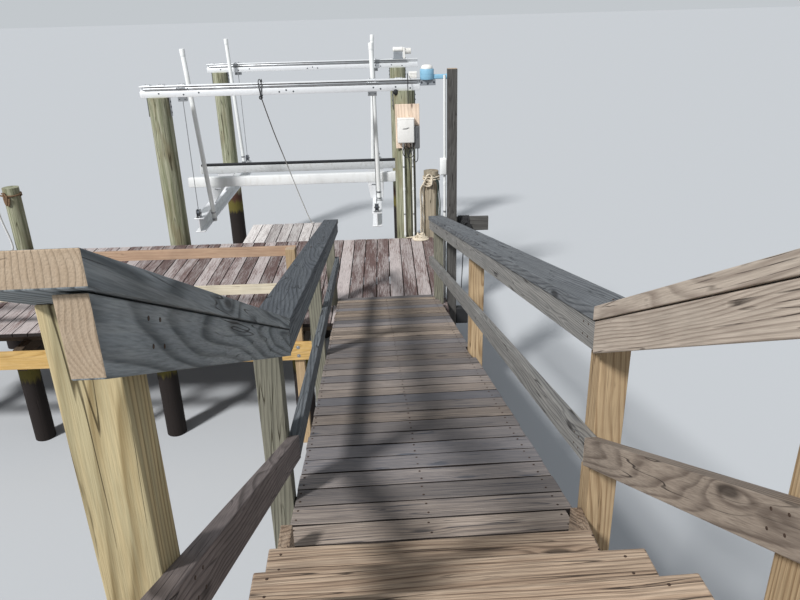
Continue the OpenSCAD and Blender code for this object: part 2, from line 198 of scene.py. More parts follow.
def timber(name, early, late, worn, dirt, rings=0.010, ring_mix=0.75, worn_mix=0.5, crack=0.8, tint=0.06,
           fibre=0.5, cast=None):
    """Sawn softwood. The solid has growth rings round a pith line, fibres, open drying checks and knots,
    read from the piece's own grain attribute: x runs along the timber, all in metres."""
    mat, node = emptied(bpy.data.materials.new(name))
    grain = node("Attribute", {}, attribute_name="grain").outputs["Vector"]
    seed = node("Attribute", {}, attribute_name="seed").outputs["Fac"]

    # slow waviness of the stem bends the rings, and knots push them aside
    slow = node("Mapping", {"Vector": grain, "Scale": (1.3, 9.0, 9.0)})
    wave = node("TexNoise", {"Vector": slow, "Scale": 1.0, "Detail": 1.5})
    knot_place = node("Mapping", {"Vector": grain, "Scale": (1.9, 7.0, 7.0)})
    knot = node("TexVoronoi", {"Vector": knot_place, "Scale": 1.0}, feature="F1")
    near = node("MapRange", {"Value": knot, "From Min": 0.32, "From Max": 0.0},
                interpolation_type="SMOOTHSTEP")
    across = node("Mapping", {"Vector": grain, "Scale": (0.0, 1.0, 1.0)})
    radius = node("VectorMath", {0: across}, operation="LENGTH")
    bent = node("Math", {0: wave, 1: 0.055, 2: radius}, operation="MULTIPLY_ADD")
    pushed = node("Math", {0: near, 1: 0.016, 2: bent}, operation="MULTIPLY_ADD")
    count = node("Math", {0: pushed, 1: 1.0 / rings}, operation="MULTIPLY")
    year = node("Math", {0: count}, operation="FRACT")
    rise = node("MapRange", {"Value": year, "From Min": 0.35, "From Max": 0.85},
                interpolation_type="SMOOTHSTEP")
    drop = node("MapRange", {"Value": year, "From Min": 0.86, "To Min": 1.0, "To Max": 0.0})
    ring = node("Math", {0: rise, 1: drop}, operation="MULTIPLY")

    # fibres a millimetre or two wide, and broader streaks of weathering along the timber
    thin = node("Mapping", {"Vector": grain, "Scale": (7.0, 420.0, 420.0)})
    fibres = node("TexNoise", {"Vector": thin, "Scale": 1.0, "Detail": 3.0})
    broad = node("Mapping", {"Vector": grain, "Scale": (1.6, 55.0, 55.0)})
    streaks = node("TexNoise", {"Vector": broad, "Scale": 1.0, "Detail": 4.0, "Roughness": 0.65})
    cloud = node("TexNoise", {"Vector": grain, "Scale": 5.0, "Detail": 3.0})

    # checks follow the fibres: thin level lines of a stretched noise, kept only in places
    split = node("Mapping", {"Vector": grain, "Location": (3.1, 0.7, 1.9), "Scale": (1.1, 38.0, 38.0)})
    field = node("TexNoise", {"Vector": split, "Scale": 1.0, "Detail": 1.0})
    off = node("Math", {0: field, 1: 0.5}, operation="SUBTRACT")
    size = node("Math", {0: off}, operation="ABSOLUTE")
    line = node("MapRange", {"Value": size, "From Min": 0.004, "From Max": 0.016, "To Min": 1.0,
                             "To Max": 0.0})
    place = node("MapRange", {"Value": cloud, "From Min": 0.62 - 0.2 * crack, "From Max": 0.72 - 0.2 * crack})
    checks = node("Math", {0: line, 1: place}, operation="MULTIPLY")

    # colours one over the other: late wood, bleached streaks, dark fibres, knots and checks
    ring_part = node("Math", {0: ring, 1: ring_mix}, operation="MULTIPLY")
    bleached = node("MapRange", {"Value": streaks, "From Min": 0.44, "From Max": 0.62, "To Max": worn_mix})
    fine = node("MapRange", {"Value": fibres, "From Min": 0.40, "From Max": 0.75, "To Max": fibre})
    core = node("MapRange", {"Value": knot, "From Min": 0.11, "From Max": 0.06, "To Max": 0.75})
    dark = node("Math", {0: checks, 1: 0.85}, operation="MULTIPLY")
    colour = tone(early)
    for factor, over in ((ring_part, late), (bleached, worn), (fine, late), (core, dirt), (dark, dirt)):
        colour = node("Mix", {"Factor": factor, 6: colour, 7: tone(over)}, data_type="RGBA")
    # each timber is a little lighter or darker than the next, and some take a second cast (painted shade on the
    # ramp)
    if cast:
        many = node("Math", {0: seed, 1: 7.3}, operation="MULTIPLY")
        some = node("Math", {0: many}, operation="FRACT")
        much = node("Math", {0: some, 1: 0.8}, operation="MULTIPLY")
        colour = node("Mix", {"Factor": much, 6: colour, 7: tone(cast)}, data_type="RGBA")
    light = node("MapRange", {"Value": seed, "To Min": 1.0 - tint, "To Max": 1.0 + tint})
    warm = node("MapRange", {"Value": cloud, "From Min": 0.3, "From Max": 0.7, "To Min": 0.86,
                             "To Max": 1.12})
    value = node("Math", {0: light, 1: warm}, operation="MULTIPLY")
    final = node("HueSaturation", {"Color": colour, "Value": value})

    height = node("Math", {0: ring, 1: 0.5, 2: fibres}, operation="MULTIPLY_ADD")
    depth = node("Math", {0: checks, 1: -3.0, 2: height}, operation="MULTIPLY_ADD")
    bump = node("Bump", {"Strength": 0.55, "Distance": 0.0016, "Height": depth})
    return close(mat, {"Base Color": final, "Roughness": 0.86, "Specular IOR Level": 0.25, "Normal": bump})


def stained(name, stain, bare, dark, spread):
    """Pine boards with a stain that has weathered off in flakes along the grain."""
    mat, node = emptied(bpy.data.materials.new(name))
    grain = node("Attribute", {}, attribute_name="grain").outputs["Vector"]
    seed = node("Attribute", {}, attribute_name="seed").outputs["Fac"]
    flake_place = node("Mapping", {"Vector": grain, "Scale": (5.0, 140.0, 140.0)})
    flakes = node("TexNoise", {"Vector": flake_place, "Scale": 1.0, "Detail": 6.0, "Roughness": 0.75})
    broad_place = node("Mapping", {"Vector": grain, "Scale": (1.3, 9.0, 9.0)})
    broad = node("TexNoise", {"Vector": broad_place, "Scale": 1.0, "Detail": 2.0})
    thin = node("Mapping", {"Vector": grain, "Scale": (5.0, 330.0, 330.0)})
    fibres = node("TexNoise", {"Vector": thin, "Scale": 1.0, "Detail": 3.0})
    shift = node("MapRange", {"Value": seed, "To Min": -0.07, "To Max": 0.08})
    both = node("Math", {0: broad, 1: 0.4, 2: flakes}, operation="MULTIPLY_ADD")
    moved = node("Math", {0: both, 1: shift}, operation="ADD")
    peeled = node("MapRange", {"Value": moved, "From Min": 0.69 - 0.1 * spread,
                               "From Max": 0.79 - 0.1 * spread, "To Max": 0.9})
    fine = node("MapRange", {"Value": fibres, "From Min": 0.45, "From Max": 0.72, "To Max": 0.6})
    colour = tone(stain)
    for factor, over in ((peeled, bare), (fine, dark)):
        colour = node("Mix", {"Factor": factor, 6: colour, 7: tone(over)}, data_type="RGBA")
    light = node("MapRange", {"Value": seed, "To Min": 0.75, "To Max": 1.25})
    final = node("HueSaturation", {"Color": colour, "Value": light})
    height = node("Math", {0: peeled, 1: -0.6, 2: fibres}, operation="MULTIPLY_ADD")
    bump = node("Bump", {"Strength": 0.5, "Distance": 0.0015, "Height": height})
    return close(mat, {"Base Color": final, "Roughness": 0.84, "Specular IOR Level": 0.25, "Normal": bump})


def pile_timber(name, green, pale, brown):
    """Treated round timber: long streaks, drying checks, and tide marks near the water."""
    mat, node = emptied(bpy.data.materials.new(name))
    spot = node("TexCoord", {}).outputs["Object"]
    long = node("Mapping", {"Vector": spot, "Scale": (34.0, 34.0, 1.3)})
    streaks = node("TexNoise", {"Vector": long, "Scale": 1.0, "Detail": 5.0, "Roughness": 0.6})
    patch_place = node("Mapping", {"Vector": spot, "Scale": (9.0, 9.0, 2.6)})
    patches = node("TexNoise", {"Vector": patch_place, "Scale": 1.0, "Detail": 3.0})
    thin = node("Mapping", {"Vector": spot, "Scale": (210.0, 210.0, 5.0)})
    fibres = node("TexNoise", {"Vector": thin, "Scale": 1.0, "Detail": 2.0})
    paler = node("MapRange", {"Value": streaks, "From Min": 0.36, "From Max": 0.66})
    browner = node("MapRange", {"Value": patches, "From Min": 0.48, "From Max": 0.70, "To Max": 0.75})
    fine = node("MapRange", {"Value": fibres, "From Min": 0.46, "From Max": 0.75, "To Max": 0.5})
    split = node("Mapping", {"Vector": spot, "Scale": (26.0, 26.0, 0.8), "Location": (2.0, 5.0, 1.0)})
    field = node("TexNoise", {"Vector": split, "Scale": 1.0, "Detail": 1.0})
    off = node("Math", {0: field, 1: 0.5}, operation="SUBTRACT")
    size = node("Math", {0: off}, operation="ABSOLUTE")
    checks = node("MapRange", {"Value": size, "From Min": 0.004, "From Max": 0.013, "To Min": 0.8,
                               "To Max": 0.0})
    colour = tone(green)
    for factor, over in ((paler, pale), (browner, brown), (fine, "4a4630"), (checks, "35301f")):
        colour = node("Mix", {"Factor": factor, 6: colour, 7: tone(over)}, data_type="RGBA")
    # tide marks: rusty brown to 1.1 m, a band of yellow growth, then black wet timber
    level = node("SeparateXYZ", {"Vector": spot})
    ragged = node("Math", {0: streaks, 1: 0.22, 2: level.outputs[2]}, operation="MULTIPLY_ADD")
    for upper, lower, over in ((1.26, 1.14, "4a3128"), (1.06, 0.98, "5c5426"), (0.86, 0.80, "221c1a")):
        wet = node("MapRange", {"Value": ragged, "From Min": upper, "From Max": lower})
        colour = node("Mix", {"Factor": wet, 6: colour, 7: tone(over)}, data_type="RGBA")
    depth = node("Math", {0: checks, 1: -2.5, 2: streaks}, operation="MULTIPLY_ADD")
    bump = node("Bump", {"Strength": 0.6, "Distance": 0.004, "Height": depth})
    return close(mat, {"Base Color": colour, "Roughness": 0.8, "Specular IOR Level": 0.25, "Normal": bump})


def metal(name, colour, rough, stain=0.25, metallic=1.0, spots="8a8a86", scale=14.0):
    """Metal with dull patches and fine scratches."""
    mat, node = emptied(bpy.data.materials.new(name))
    spot = node("TexCoord", {}).outputs["Object"]
    cloud = node("TexNoise", {"Vector": spot, "Scale": scale, "Detail": 5.0, "Roughness": 0.65})
    fine = node("Mapping", {"Vector": spot, "Scale": (12.0, 260.0, 260.0)})
    drawn = node("TexNoise", {"Vector": fine, "Scale": 1.0, "Detail": 2.0})
    dull = node("MapRange", {"Value": cloud, "From Min": 0.5, "From Max": 0.72, "To Max": stain})
    base = node("Mix", {"Factor": dull, 6: colour, 7: tone(spots)}, data_type="RGBA")
    gloss = node("MapRange", {"Value": cloud, "From Min": 0.3, "From Max": 0.7, "To Min": rough - 0.08,
                              "To Max": rough + 0.12})
    bump = node("Bump", {"Strength": 0.12, "Distance": 0.0006, "Height": drawn})
    return close(mat, {"Base Color": base, "Metallic": metallic, "Roughness": gloss, "Normal": bump})


def moulded(name, colour, stain_colour, rough=0.45, stain=0.35, grit=900.0):
    """Moulded or extruded plastic, weathered, with a fine pebble in the surface."""
    mat, node = emptied(bpy.data.materials.new(name))
    spot = node("TexCoord", {}).outputs["Object"]
    long = node("Mapping", {"Vector": spot, "Scale": (3.0, 3.0, 1.0)})
    cloud = node("TexNoise", {"Vector": long, "Scale": 6.0, "Detail": 6.0, "Roughness": 0.6})
    pebble = node("TexNoise", {"Vector": spot, "Scale": grit, "Detail": 1.0})
    soiled = node("MapRange", {"Value": cloud, "From Min": 0.5, "From Max": 0.8, "To Max": stain})
    base = node("Mix", {"Factor": soiled, 6: tone(colour), 7: tone(stain_colour)}, data_type="RGBA")
    bump = node("Bump", {"Strength": 0.08, "Distance": 0.0004, "Height": pebble})
    return close(mat, {"Base Color": base, "Roughness": rough, "Normal": bump})


def laid_rope(name, light, dark, lay=0.03, stain=None):
    """Three-strand rope: strands wind round the rope's length, read from its UV map in metres. A second
    colour, if given, darkens about its first metre."""
    mat, node = emptied(bpy.data.materials.new(name))
    place = node("UVMap", {})
    parts = node("SeparateXYZ", {"Vector": place})
    along = node("Math", {0: parts, 1: 1.0 / lay, 2: parts.outputs[1]}, operation="MULTIPLY_ADD")
    strand = node("Math", {0: along, 1: 2 * math.pi * 3}, operation="MULTIPLY")
    swell = node("Math", {0: strand}, operation="SINE")
    spot = node("TexCoord", {}).outputs["Object"]
    fluff = node("TexNoise", {"Vector": spot, "Scale": 160.0, "Detail": 3.0})
    mixed = node("Math", {0: swell, 1: 0.4, 2: fluff}, operation="MULTIPLY_ADD")
    crown = node("MapRange", {"Value": mixed, "From Min": 0.15, "From Max": 0.75})
    base = node("Mix", {"Factor": crown, 6: tone(dark), 7: tone(light)}, data_type="RGBA")
    if stain:
        clean = node("MapRange", {"Value": parts, "From Min": 0.7, "From Max": 1.2})
        base = node("Mix", {"Factor": clean, 6: tone(stain), 7: base}, data_type="RGBA")
    bump = node("Bump", {"Strength": 0.8, "Distance": 0.003, "Height": mixed})
    return close(mat, {"Base Color": base, "Roughness": 0.92, "Normal": bump})


def studio_floor(name, colour):
    """Plain pale studio floor."""
    mat, _ = emptied(bpy.data.materials.new(name))
    return close(mat, {"Base Color": (*colour, 1.0), "Roughness": 0.95, "Specular IOR Level": 0.1})


def make_finishes():
    """All materials by the name that the pieces use."""
    colours = bpy.context.scene.jetty_colours
    return {
        # rails: silver-grey pine with dark late wood and open checks; darker and bluer left of the ramp in
        # painted shade, lighter right of the steps in painted sunlight, and browner below than above on the
        # steps in painted shade
        "rail": timber("Weathered pine rail", "8f8d89", "565656", "aba7a0", "2e2a28", rings=0.0085,
                       worn_mix=0.35, tint=0.10),
        # painted shade: a darker, bluer copy of the rail for the left railing along the ramp
        "rail_dark": timber("Weathered pine rail in painted shade", "6a6f73", "33363a", "8b8e90", "242120", rings=0.013,
                            ring_mix=0.85, worn_mix=0.35, tint=0.10),
        # painted shade: a darker, bluer copy for the left railing's caps and top rail on the steps
        "rail_stair": timber("Shaded weathered pine", "949a9d", "4c5154", "aeb1b0", "282423", rings=0.014,
                             ring_mix=0.85, worn_mix=0.35, crack=0.7),
        # painted sunlight: a lighter, warmer copy for the right railing's caps and top rail on the steps
        "rail_warm": timber("Weathered pine rail in painted sunlight", "c0b2a3", "84756a", "cfc2b3", "352c27", rings=0.0085,
                            ring_mix=0.7, worn_mix=0.4, crack=0.7, tint=0.08),
        # painted shade: darker, browner copies for the middle rails on the steps, under the top rails
        "rail_brown": timber("Brown pine rail in painted shade", "978a7d", "584c44", "a89b8d", "2c2521",
                             worn_mix=0.45, crack=0.7),
        "rail_plum": timber("Brown-grey pine in painted shade", "7d7370", "3f3836", "8e8380", "231e1d", worn_mix=0.4,
                            crack=0.7),
        # painted shade: a darker, bluer cap board for the left railing along the ramp
        "cap_dark": timber("Cap board in painted shade", "565a5f", "2f3236", "767a7d", "1f2022", rings=0.012,
                           ring_mix=0.7, worn_mix=0.3),
        "cap_grey": timber("Grey weathered cap board", "777a7d", "44474b", "929596", "27282a", worn_mix=0.3,
                           crack=0.9),
        # end grain lighter and warmer than the faces: partly its own colour, partly painted sunlight on the cut
        # ends
        "sunlit_endgrain": timber("End grain in painted sunlight", "b29e87", "85725d", "beac96", "4a3c30", rings=0.006,
                            ring_mix=0.38, worn_mix=0.3, crack=0.4, fibre=0.2),
        # ramp: foot-worn grey-brown pine, long dark streaks; warm boards partly painted sunlight, some with a
        # blue-grey cast of painted shade; board sides near black, painted shade in the joints
        "ramp": timber("Foot-worn pine boards", "ab9987", "493f3a", "c6b5a4", "2a2523", rings=0.011,
                       ring_mix=0.6, worn_mix=0.6, crack=1.0, tint=0.30, fibre=0.8, cast="5f6570"),
        # painted shade: near-black board sides, so the joints between boards read dark
        "joint": timber("Board sides in painted shade", "2b2523", "181514", "322b28", "171413", ring_mix=0.4, crack=0.4,
                        tint=0.10),
        # steps: grey-brown pine, bleached where feet and sun reach it, with dark open grain; front and side
        # faces darker in painted shade
        "tread": timber("Sun-bleached pine treads", "ad9680", "4d3d33", "c5b19b", "2b231f", rings=0.011,
                        ring_mix=0.65, worn_mix=0.60, crack=1.0, tint=0.20, fibre=0.7),
        # painted shade: darker front and side faces of the treads
        "shaded_tread_side": timber("Tread sides in painted shade", "796556", "42342b", "907c6a", "28201c", rings=0.011,
                             ring_mix=0.6, tint=0.16, fibre=0.7),
        # deck: reddish stain that flakes off pale wood; greyer and barer on the finger deck
        "deck": stained("Flaking deck stain on pine", "6d5753", "b5aca9", "4a403e", spread=0.45),
        "finger": stained("Bare grey pine with stain left", "a79e9b", "ddd8d4", "7a7270", spread=0.75),
        # posts: pressure-treated pine, khaki tan with a green cast
        "post": timber("Pressure-treated pine", "c4b28a", "7d6b48", "aca383", "40351f", rings=0.015,
                       ring_mix=0.8, worn_mix=0.65, crack=0.75, tint=0.08, fibre=0.35),
        "post_grey": timber("Grey-green treated pine", "7c7a6c", "525047", "8d897a", "332d20", rings=0.014,
                            worn_mix=0.4, crack=0.6, tint=0.08, fibre=0.35),
        "post_orange": timber("Oiled pine post", "b59d7c", "7a6043", "bda584", "46331f", rings=0.011,
                              worn_mix=0.6, crack=0.6, tint=0.10, fibre=0.4),
        "fence_rail": timber("Pink-tan pine rail", "ad9079", "84664f", "c0a58b", "4a392c", rings=0.012,
                             ring_mix=0.5, crack=0.4, tint=0.08, fibre=0.3),
        "pale_rail": timber("Pale yellow pine rail", "cfc4ae", "a89a80", "dcd3c0", "6a5940", rings=0.012,
                            ring_mix=0.5, crack=0.3, tint=0.05, fibre=0.25),
        "fresh": timber("Fresh yellow pine", "caa668", "a17c45", "d6b988", "63471f", rings=0.012,
                        ring_mix=0.6, worn_mix=0.35, crack=0.3, fibre=0.3),
        "frame": timber("Rough sawn frame pine", "5c4e40", "3a3027", "6d5e4d", "1b1612", ring_mix=0.5,
                        crack=0.6, tint=0.15),
        "grey_post": timber("Dark weathered post", "53514e", "322f2e", "686764", "201d1c", ring_mix=0.5,
                            tint=0.05),
        "ply": timber("Weathered plywood face", "e2ccb7", "bba590", "e8d9c8", "5a4234", rings=0.030,
                      ring_mix=0.7, worn_mix=0.3, crack=0.25, tint=0.04, fibre=0.2),
        # piles: treated round timber with tide marks; the deck's piles darker and browner in painted shade
        "pile": pile_timber("Treated round timber", "777b60", "b4b39c", "80765c"),
        # painted shade: a darker, browner copy for the piles under the deck
        "shaded_pile": pile_timber("Round timber in painted shade", "574b3c", "8a7a62", "6a4f3a"),
        "worn_pile": pile_timber("Bleached round timber", "8d8373", "b9ad97", "7d6650"),
        # mill finish aluminium oxidised to a soft white, grey castings, and steel bright, dull or rusted
        "aluminium": metal("Mill finish aluminium", (*colours.aluminium, 1.0), 0.45, metallic=0.35,
                           spots="b0b1b0"),
        "bunk_web": metal("Carpet-stained aluminium", tone("d0d2d2"), 0.5, stain=0.5, metallic=0.3,
                          spots="a8a49c"),
        "grey_cast": metal("Grey painted casting", tone("8f9499"), 0.5, stain=0.5, metallic=0.2,
                           spots="6c6f72"),
        "wire": metal("Steel wire rope", tone("8d8f91"), 0.45, stain=0.5, metallic=0.7, spots="5d5a56",
                      scale=60.0),
        "steel": metal("Galvanised steel", tone("a9abad"), 0.38, stain=0.45, spots="77706a"),
        "rust": metal("Rusted steel screw", tone("4a3a30"), 0.7, stain=0.6, metallic=0.4, spots="2c211b",
                      scale=90.0),
        "dark_steel": metal("Winder drum steel", tone("50545a"), 0.5, metallic=0.7, spots="33363a"),
        # plastics: white vinyl and boxes a little yellowed, the drive's light blue cover, black rubber
        "vinyl": moulded("White vinyl bunk", "e4e5e4", "bdb9ae"),
        "white": moulded("White vinyl tube", "e6e7e5", "b9b6a8"),
        "box": moulded("Weatherproof white box", "e6e4df", "b5b0a6", rough=0.5),
        "blue": moulded("Light blue gear cover", "86b5ce", "6890a8", rough=0.4, stain=0.25),
        "grey": moulded("Dark grey moulding", "5a5b5c", "3c3c3b", rough=0.55),
        "black": moulded("Black rubber", "17181a", "2b2b2a", rough=0.7),
        "carpet": moulded("Black bunk carpet", "1d1e21", "33332f", rough=0.98, grit=350.0),
        # ropes: light crowns of the strands over dark grooves
        "rope": laid_rope("Cream mooring rope", "efe6d4", "b3a083"),
        "brown_rope": laid_rope("Coir rope", "98795a", "46362a"),
        "black_rope": laid_rope("Black braided rope", "3a3a3c", "151516", lay=0.02),
        # the dock line is darker along about its first metre, from the beam
        "line": laid_rope("Grey-white dock line", "e6e6e2", "a6a49d", lay=0.02, stain="57504a"),
        "white_rope": laid_rope("White nylon line", "f2f2f0", "b4b6b8", lay=0.02),
        "green_rope": laid_rope("Dark green line", "55635a", "222b27", lay=0.015),
        "floor": studio_floor("Studio floor", colours.floor),
    }


FINISH = {}


# Modelling helpers, all with Blender's own tools


def clear():
    """Deselects everything and leaves edit mode."""
    if bpy.context.object and bpy.context.object.mode != "OBJECT":
        bpy.ops.object.mode_set(mode="OBJECT")
    bpy.ops.object.select_all(action="DESELECT")


def pick(*objs):
    """Makes these the selection, the first one active."""
    clear()
    for o in objs:
        o.select_set(True)
    bpy.context.view_layer.objects.active = objs[0]


def settle(obj):
    """Bakes the object's place into its mesh."""
    pick(obj)
    bpy.ops.object.transform_apply(location=True, rotation=True, scale=True)
    return obj


def cube(size, centre):
    """A block brought to its size and place."""
    clear()
    bpy.ops.mesh.primitive_cube_add(size=1, location=centre)
    bpy.context.object.scale = size
    return settle(bpy.context.object)


def tube(start, end, radius, sides=24):
    """A round bar from start to end."""
    clear()
    a, b = Vector(start), Vector(end)
    bpy.ops.mesh.primitive_cylinder_add(vertices=sides, radius=radius, depth=(b - a).length,
                                        location=(a + b) / 2)
    obj = bpy.context.object
    obj.rotation_mode = "QUATERNION"
    obj.rotation_quaternion = (b - a).to_track_quat("Z", "Y")
    return settle(obj)


def ease(obj, width, segments=2):
    """Rounds the edges sharper than 30 degrees."""
    pick(obj)
    mod = obj.modifiers.new("Eased", "BEVEL")
    mod.width = width
    mod.segments = segments
    mod.limit_method = "ANGLE"
    mod.angle_limit = math.radians(30)
    bpy.ops.object.modifier_apply(modifier=mod.name)
    return obj


def smooth(obj, angle=40):
    """Smooth shading up to an angle."""
    pick(obj)
    bpy.ops.object.shade_smooth_by_angle(angle=math.radians(angle))
    return obj


def join(name, objs):
    """One piece made of several."""
    pick(*objs)
    if len(objs) > 1:
        bpy.ops.object.join()
    obj = bpy.context.object
    obj.name = name
    obj.data.name = name
    return obj


def finish(obj, finish_name, slot, *nodes, body="dock"):
    """Gives a piece its finish and its body, and hides the CAD nodes that it stands for. The slot is not used.
    """
    if finish_name:
        obj.data.materials.clear()
        obj.data.materials.append(FINISH[finish_name])
    if body:
        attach(obj, body)
    if nodes:
        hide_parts(*nodes)
    return obj


def give_grain(obj, matrix, seed):
    """Writes the grain coordinates and the seed of one timber to its points."""
    mesh = obj.data
    for name, kind in (("grain", "FLOAT_VECTOR"), ("seed", "FLOAT")):
        if name not in mesh.attributes:
            mesh.attributes.new(name, kind, "POINT")
    places = [c for v in mesh.vertices for c in matrix @ v.co]
    mesh.attributes["grain"].data.foreach_set("vector", places)
    mesh.attributes["seed"].data.foreach_set("value", [seed] * len(mesh.vertices))


def pith(rng):
    """A random offset along a timber and beside it, to where its pith lies."""
    side = rng.choice((-1, 1))
    return Matrix.Translation((rng.uniform(-60, 60), side * rng.uniform(0.03, 0.09),
                               rng.choice((-1, 1)) * rng.uniform(0.03, 0.09)))


def askew(rng, most):
    """A random small turn of the grain against the timber."""
    about_y, about_z = (Matrix.Rotation(rng.uniform(-most, most), 4, axis) for axis in "YZ")
    return about_y @ about_z


def twin(obj, matrix):
    """A copy with its own mesh, moved by the matrix."""
    made = obj.copy()
    made.data = obj.data.copy()
    bpy.context.collection.objects.link(made)
    made.data.transform(matrix)
    return made


def drop_template(obj):
    """Removes a template that has been copied."""
    bpy.data.objects.remove(obj)


def plank(length, width, skin, arris, cuts=5):
    """One sawn board along X, its top at z 0: cut across, its arrises eased. Its faces have the first
    finish and its sides the second."""
    obj = cube((length, width, BOARD), (0, 0, -BOARD / 2))
    bpy.ops.object.mode_set(mode="EDIT")
    bpy.ops.mesh.select_mode(type="EDGE")
    bpy.ops.mesh.select_all(action="DESELECT")
    bpy.ops.object.mode_set(mode="OBJECT")
    for e in obj.data.edges:
        a, b = (obj.data.vertices[i].co for i in e.vertices)
        e.select = abs(a.x - b.x) > length / 2
    bpy.ops.object.mode_set(mode="EDIT")
    bpy.ops.mesh.subdivide(number_cuts=cuts)
    bpy.ops.object.mode_set(mode="OBJECT")
    ease(obj, arris)
    for one in skin:
        obj.data.materials.append(FINISH[one])
    for face in obj.data.polygons:
        face.material_index = int(abs(face.normal.z) < 0.6)
    return obj


def laid(template, matrix, rng, wear=0.0015):
    """A copy of a board with its own mesh, a little bent and worn, put in its place."""
    obj = twin(template, Matrix())
    shift = pith(rng)
    give_grain(obj, shift @ askew(rng, 0.02), rng.random())
    steps = {}
    for v in obj.data.vertices:
        key = (round(v.co.x, 1), v.co.y > 0)
        if key not in steps:
            steps[key] = rng.uniform(-wear, wear)
        v.co.y += steps[key]
        v.co.z -= abs(steps[key]) * 0.6
    obj.data.transform(matrix)
    return obj


def turned(profile, sides=24):
    """A solid turned about Z: a filled ring is extruded and scaled from one height and radius to the next."""
    z, r = profile[0]
    clear()
    bpy.ops.mesh.primitive_circle_add(vertices=sides, radius=r, fill_type="NGON", location=(0, 0, z))
    obj = settle(bpy.context.object)
    bpy.ops.object.mode_set(mode="EDIT")
    bpy.ops.mesh.select_all(action="SELECT")
    for next_z, next_r in profile[1:]:
        bpy.ops.mesh.extrude_region_move(TRANSFORM_OT_translate={"value": (0, 0, next_z - z)})
        grow = next_r / r
        bpy.ops.transform.resize(value=(grow, grow, 1), center_override=(0, 0, next_z))
        z, r = next_z, next_r
    bpy.ops.mesh.select_all(action="SELECT")
    bpy.ops.mesh.normals_make_consistent(inside=False)
    bpy.ops.object.mode_set(mode="OBJECT")
    return smooth(obj)


def facing(axis):
    """The turn that brings Z to the axis."""
    return Vector(axis).to_track_quat("Z", "Y").to_matrix().to_4x4()


def stand(obj, place, axis=UP):
    """Puts a solid made about Z at its place, turned along the axis."""
    obj.data.transform(Matrix.Translation(place) @ facing(axis))
    return obj


def block(low, high, width=0.003, segments=2):
    """A block between two corners with rounded edges."""
    a, b = Vector(low), Vector(high)
    return ease(cube(b - a, (a + b) / 2), width, segments)


def placed(origin, points):
    """Points that are given from an origin, in the frame of the whole."""
    return [tuple(a + b for a, b in zip(origin, point)) for point in points]


def heads(name, places, axis, radius, height, washer=0.0):
    """Hexagonal heads of screws or bolts, one at each place, half sunk and standing out along the axis."""
    template = ease(tube((0, 0, -height), (0, 0, height), radius, 6), height * 0.3, 1)
    if washer:
        template = join("head", [template, tube((0, 0, -height), (0, 0, height * 0.35), washer, 16)])
    made = [twin(template, Matrix.Translation(place) @ facing(axis) @ Matrix.Rotation(i * 0.7, 4, "Z"))
            for i, place in enumerate(places)]
    drop_template(template)
    return join(name, made)


def taken(node):
    """The solids of a CAD node as separate copies with merged points, from left to right."""
    obj = NODES[node].copy()
    obj.data = NODES[node].data.copy()
    obj.parent = None
    bpy.context.collection.objects.link(obj)
    for key in list(obj.keys()):
        del obj[key]
    pick(obj)
    bpy.ops.object.mode_set(mode="EDIT")
    bpy.ops.mesh.select_all(action="SELECT")
    bpy.ops.mesh.remove_doubles(threshold=0.00005)
    bpy.ops.mesh.dissolve_limited(angle_limit=math.radians(1))
    bpy.ops.mesh.separate(type="LOOSE")
    bpy.ops.object.mode_set(mode="OBJECT")
    return sorted(bpy.context.selected_objects, key=lambda o: tuple(round(c, 3) for c in o.bound_box[0]))


def eased(node, finish_name, slot, width=0.002, body="dock"):
    """A copy of a CAD node with rounded edges, in one finish."""
    parts = [ease(part, width) for part in taken(node)]
    return finish(smooth(join(node + "_eased", parts), 30), finish_name, slot, node, body=body)


def dressed(node, choose, slot, arris, seed, ends, sink):
    """A copy of a CAD node as solid timber: edges eased, each solid with its own grain and cut ends. The
    finish is a name, or a function that picks the name from the solid's middle. A sink lowers it, for an
    open joint."""
    rng = random.Random(seed)
    parts = taken(node)
    for part in parts:
        points = part.data.vertices
        spans = [points[e.vertices[0]].co - points[e.vertices[1]].co for e in part.data.edges]
        axis = max(spans, key=lambda span: span.length).normalized()
        if (axis.y if abs(axis.y) > abs(axis.z) else axis.z) < 0:
            axis = -axis
        turn = axis.rotation_difference(Vector(RIGHT)).to_matrix().to_4x4()
        middle = sum((v.co for v in points), Vector()) / len(points)
        ease(part, arris)
        part.data.materials.clear()
        part.data.materials.append(FINISH[choose if isinstance(choose, str) else choose(middle)])
        if ends:
            # cut ends take the end grain finish, lightened with painted sunlight
            part.data.materials.append(FINISH["sunlit_endgrain"])
            for face in part.data.polygons:
                face.material_index = int(abs(face.normal.dot(axis)) > 0.75)
        tilt = askew(rng, 0.05)
        give_grain(part, pith(rng) @ tilt @ turn @ Matrix.Translation(-middle), rng.random())
        part.data.transform(Matrix.Translation((0, 0, -sink)))
    finish(join(node + "_timber", parts), None, slot, node)


def rail_top(side, s):
    """Height of the top rail's upper edge at a distance from the foot; the side is -1 left and 1 right."""
    corner, height, foot, slope, _, _ = RAILING[side]
    if s < corner:
        return height - (corner - s) * (height - foot) / corner
    return height + (s - corner) * slope


def middle_top(side, s):
    """Height of the middle rail's upper edge at a distance from the foot."""
    corner, height, _, slope, foot, drop = RAILING[side]
    if s < corner:
        return foot + s * (height - drop - foot) / corner
    return height - drop + (s - corner) * slope


def ring_size(mesh):
    """How many points one ring of a swept tube has. The first point meets its two neighbours in the ring and
    one point of the next ring, which has the highest number."""
    return sorted(max(e.vertices) for e in mesh.edges if min(e.vertices) == 0)[2]


def ring_centres(mesh):
    """The middle of each ring of a swept tube, so the line that it follows."""
    size = ring_size(mesh)
    return [sum((mesh.vertices[i * size + k].co for k in range(size)), Vector()) / size
            for i in range(len(mesh.vertices) // size)]


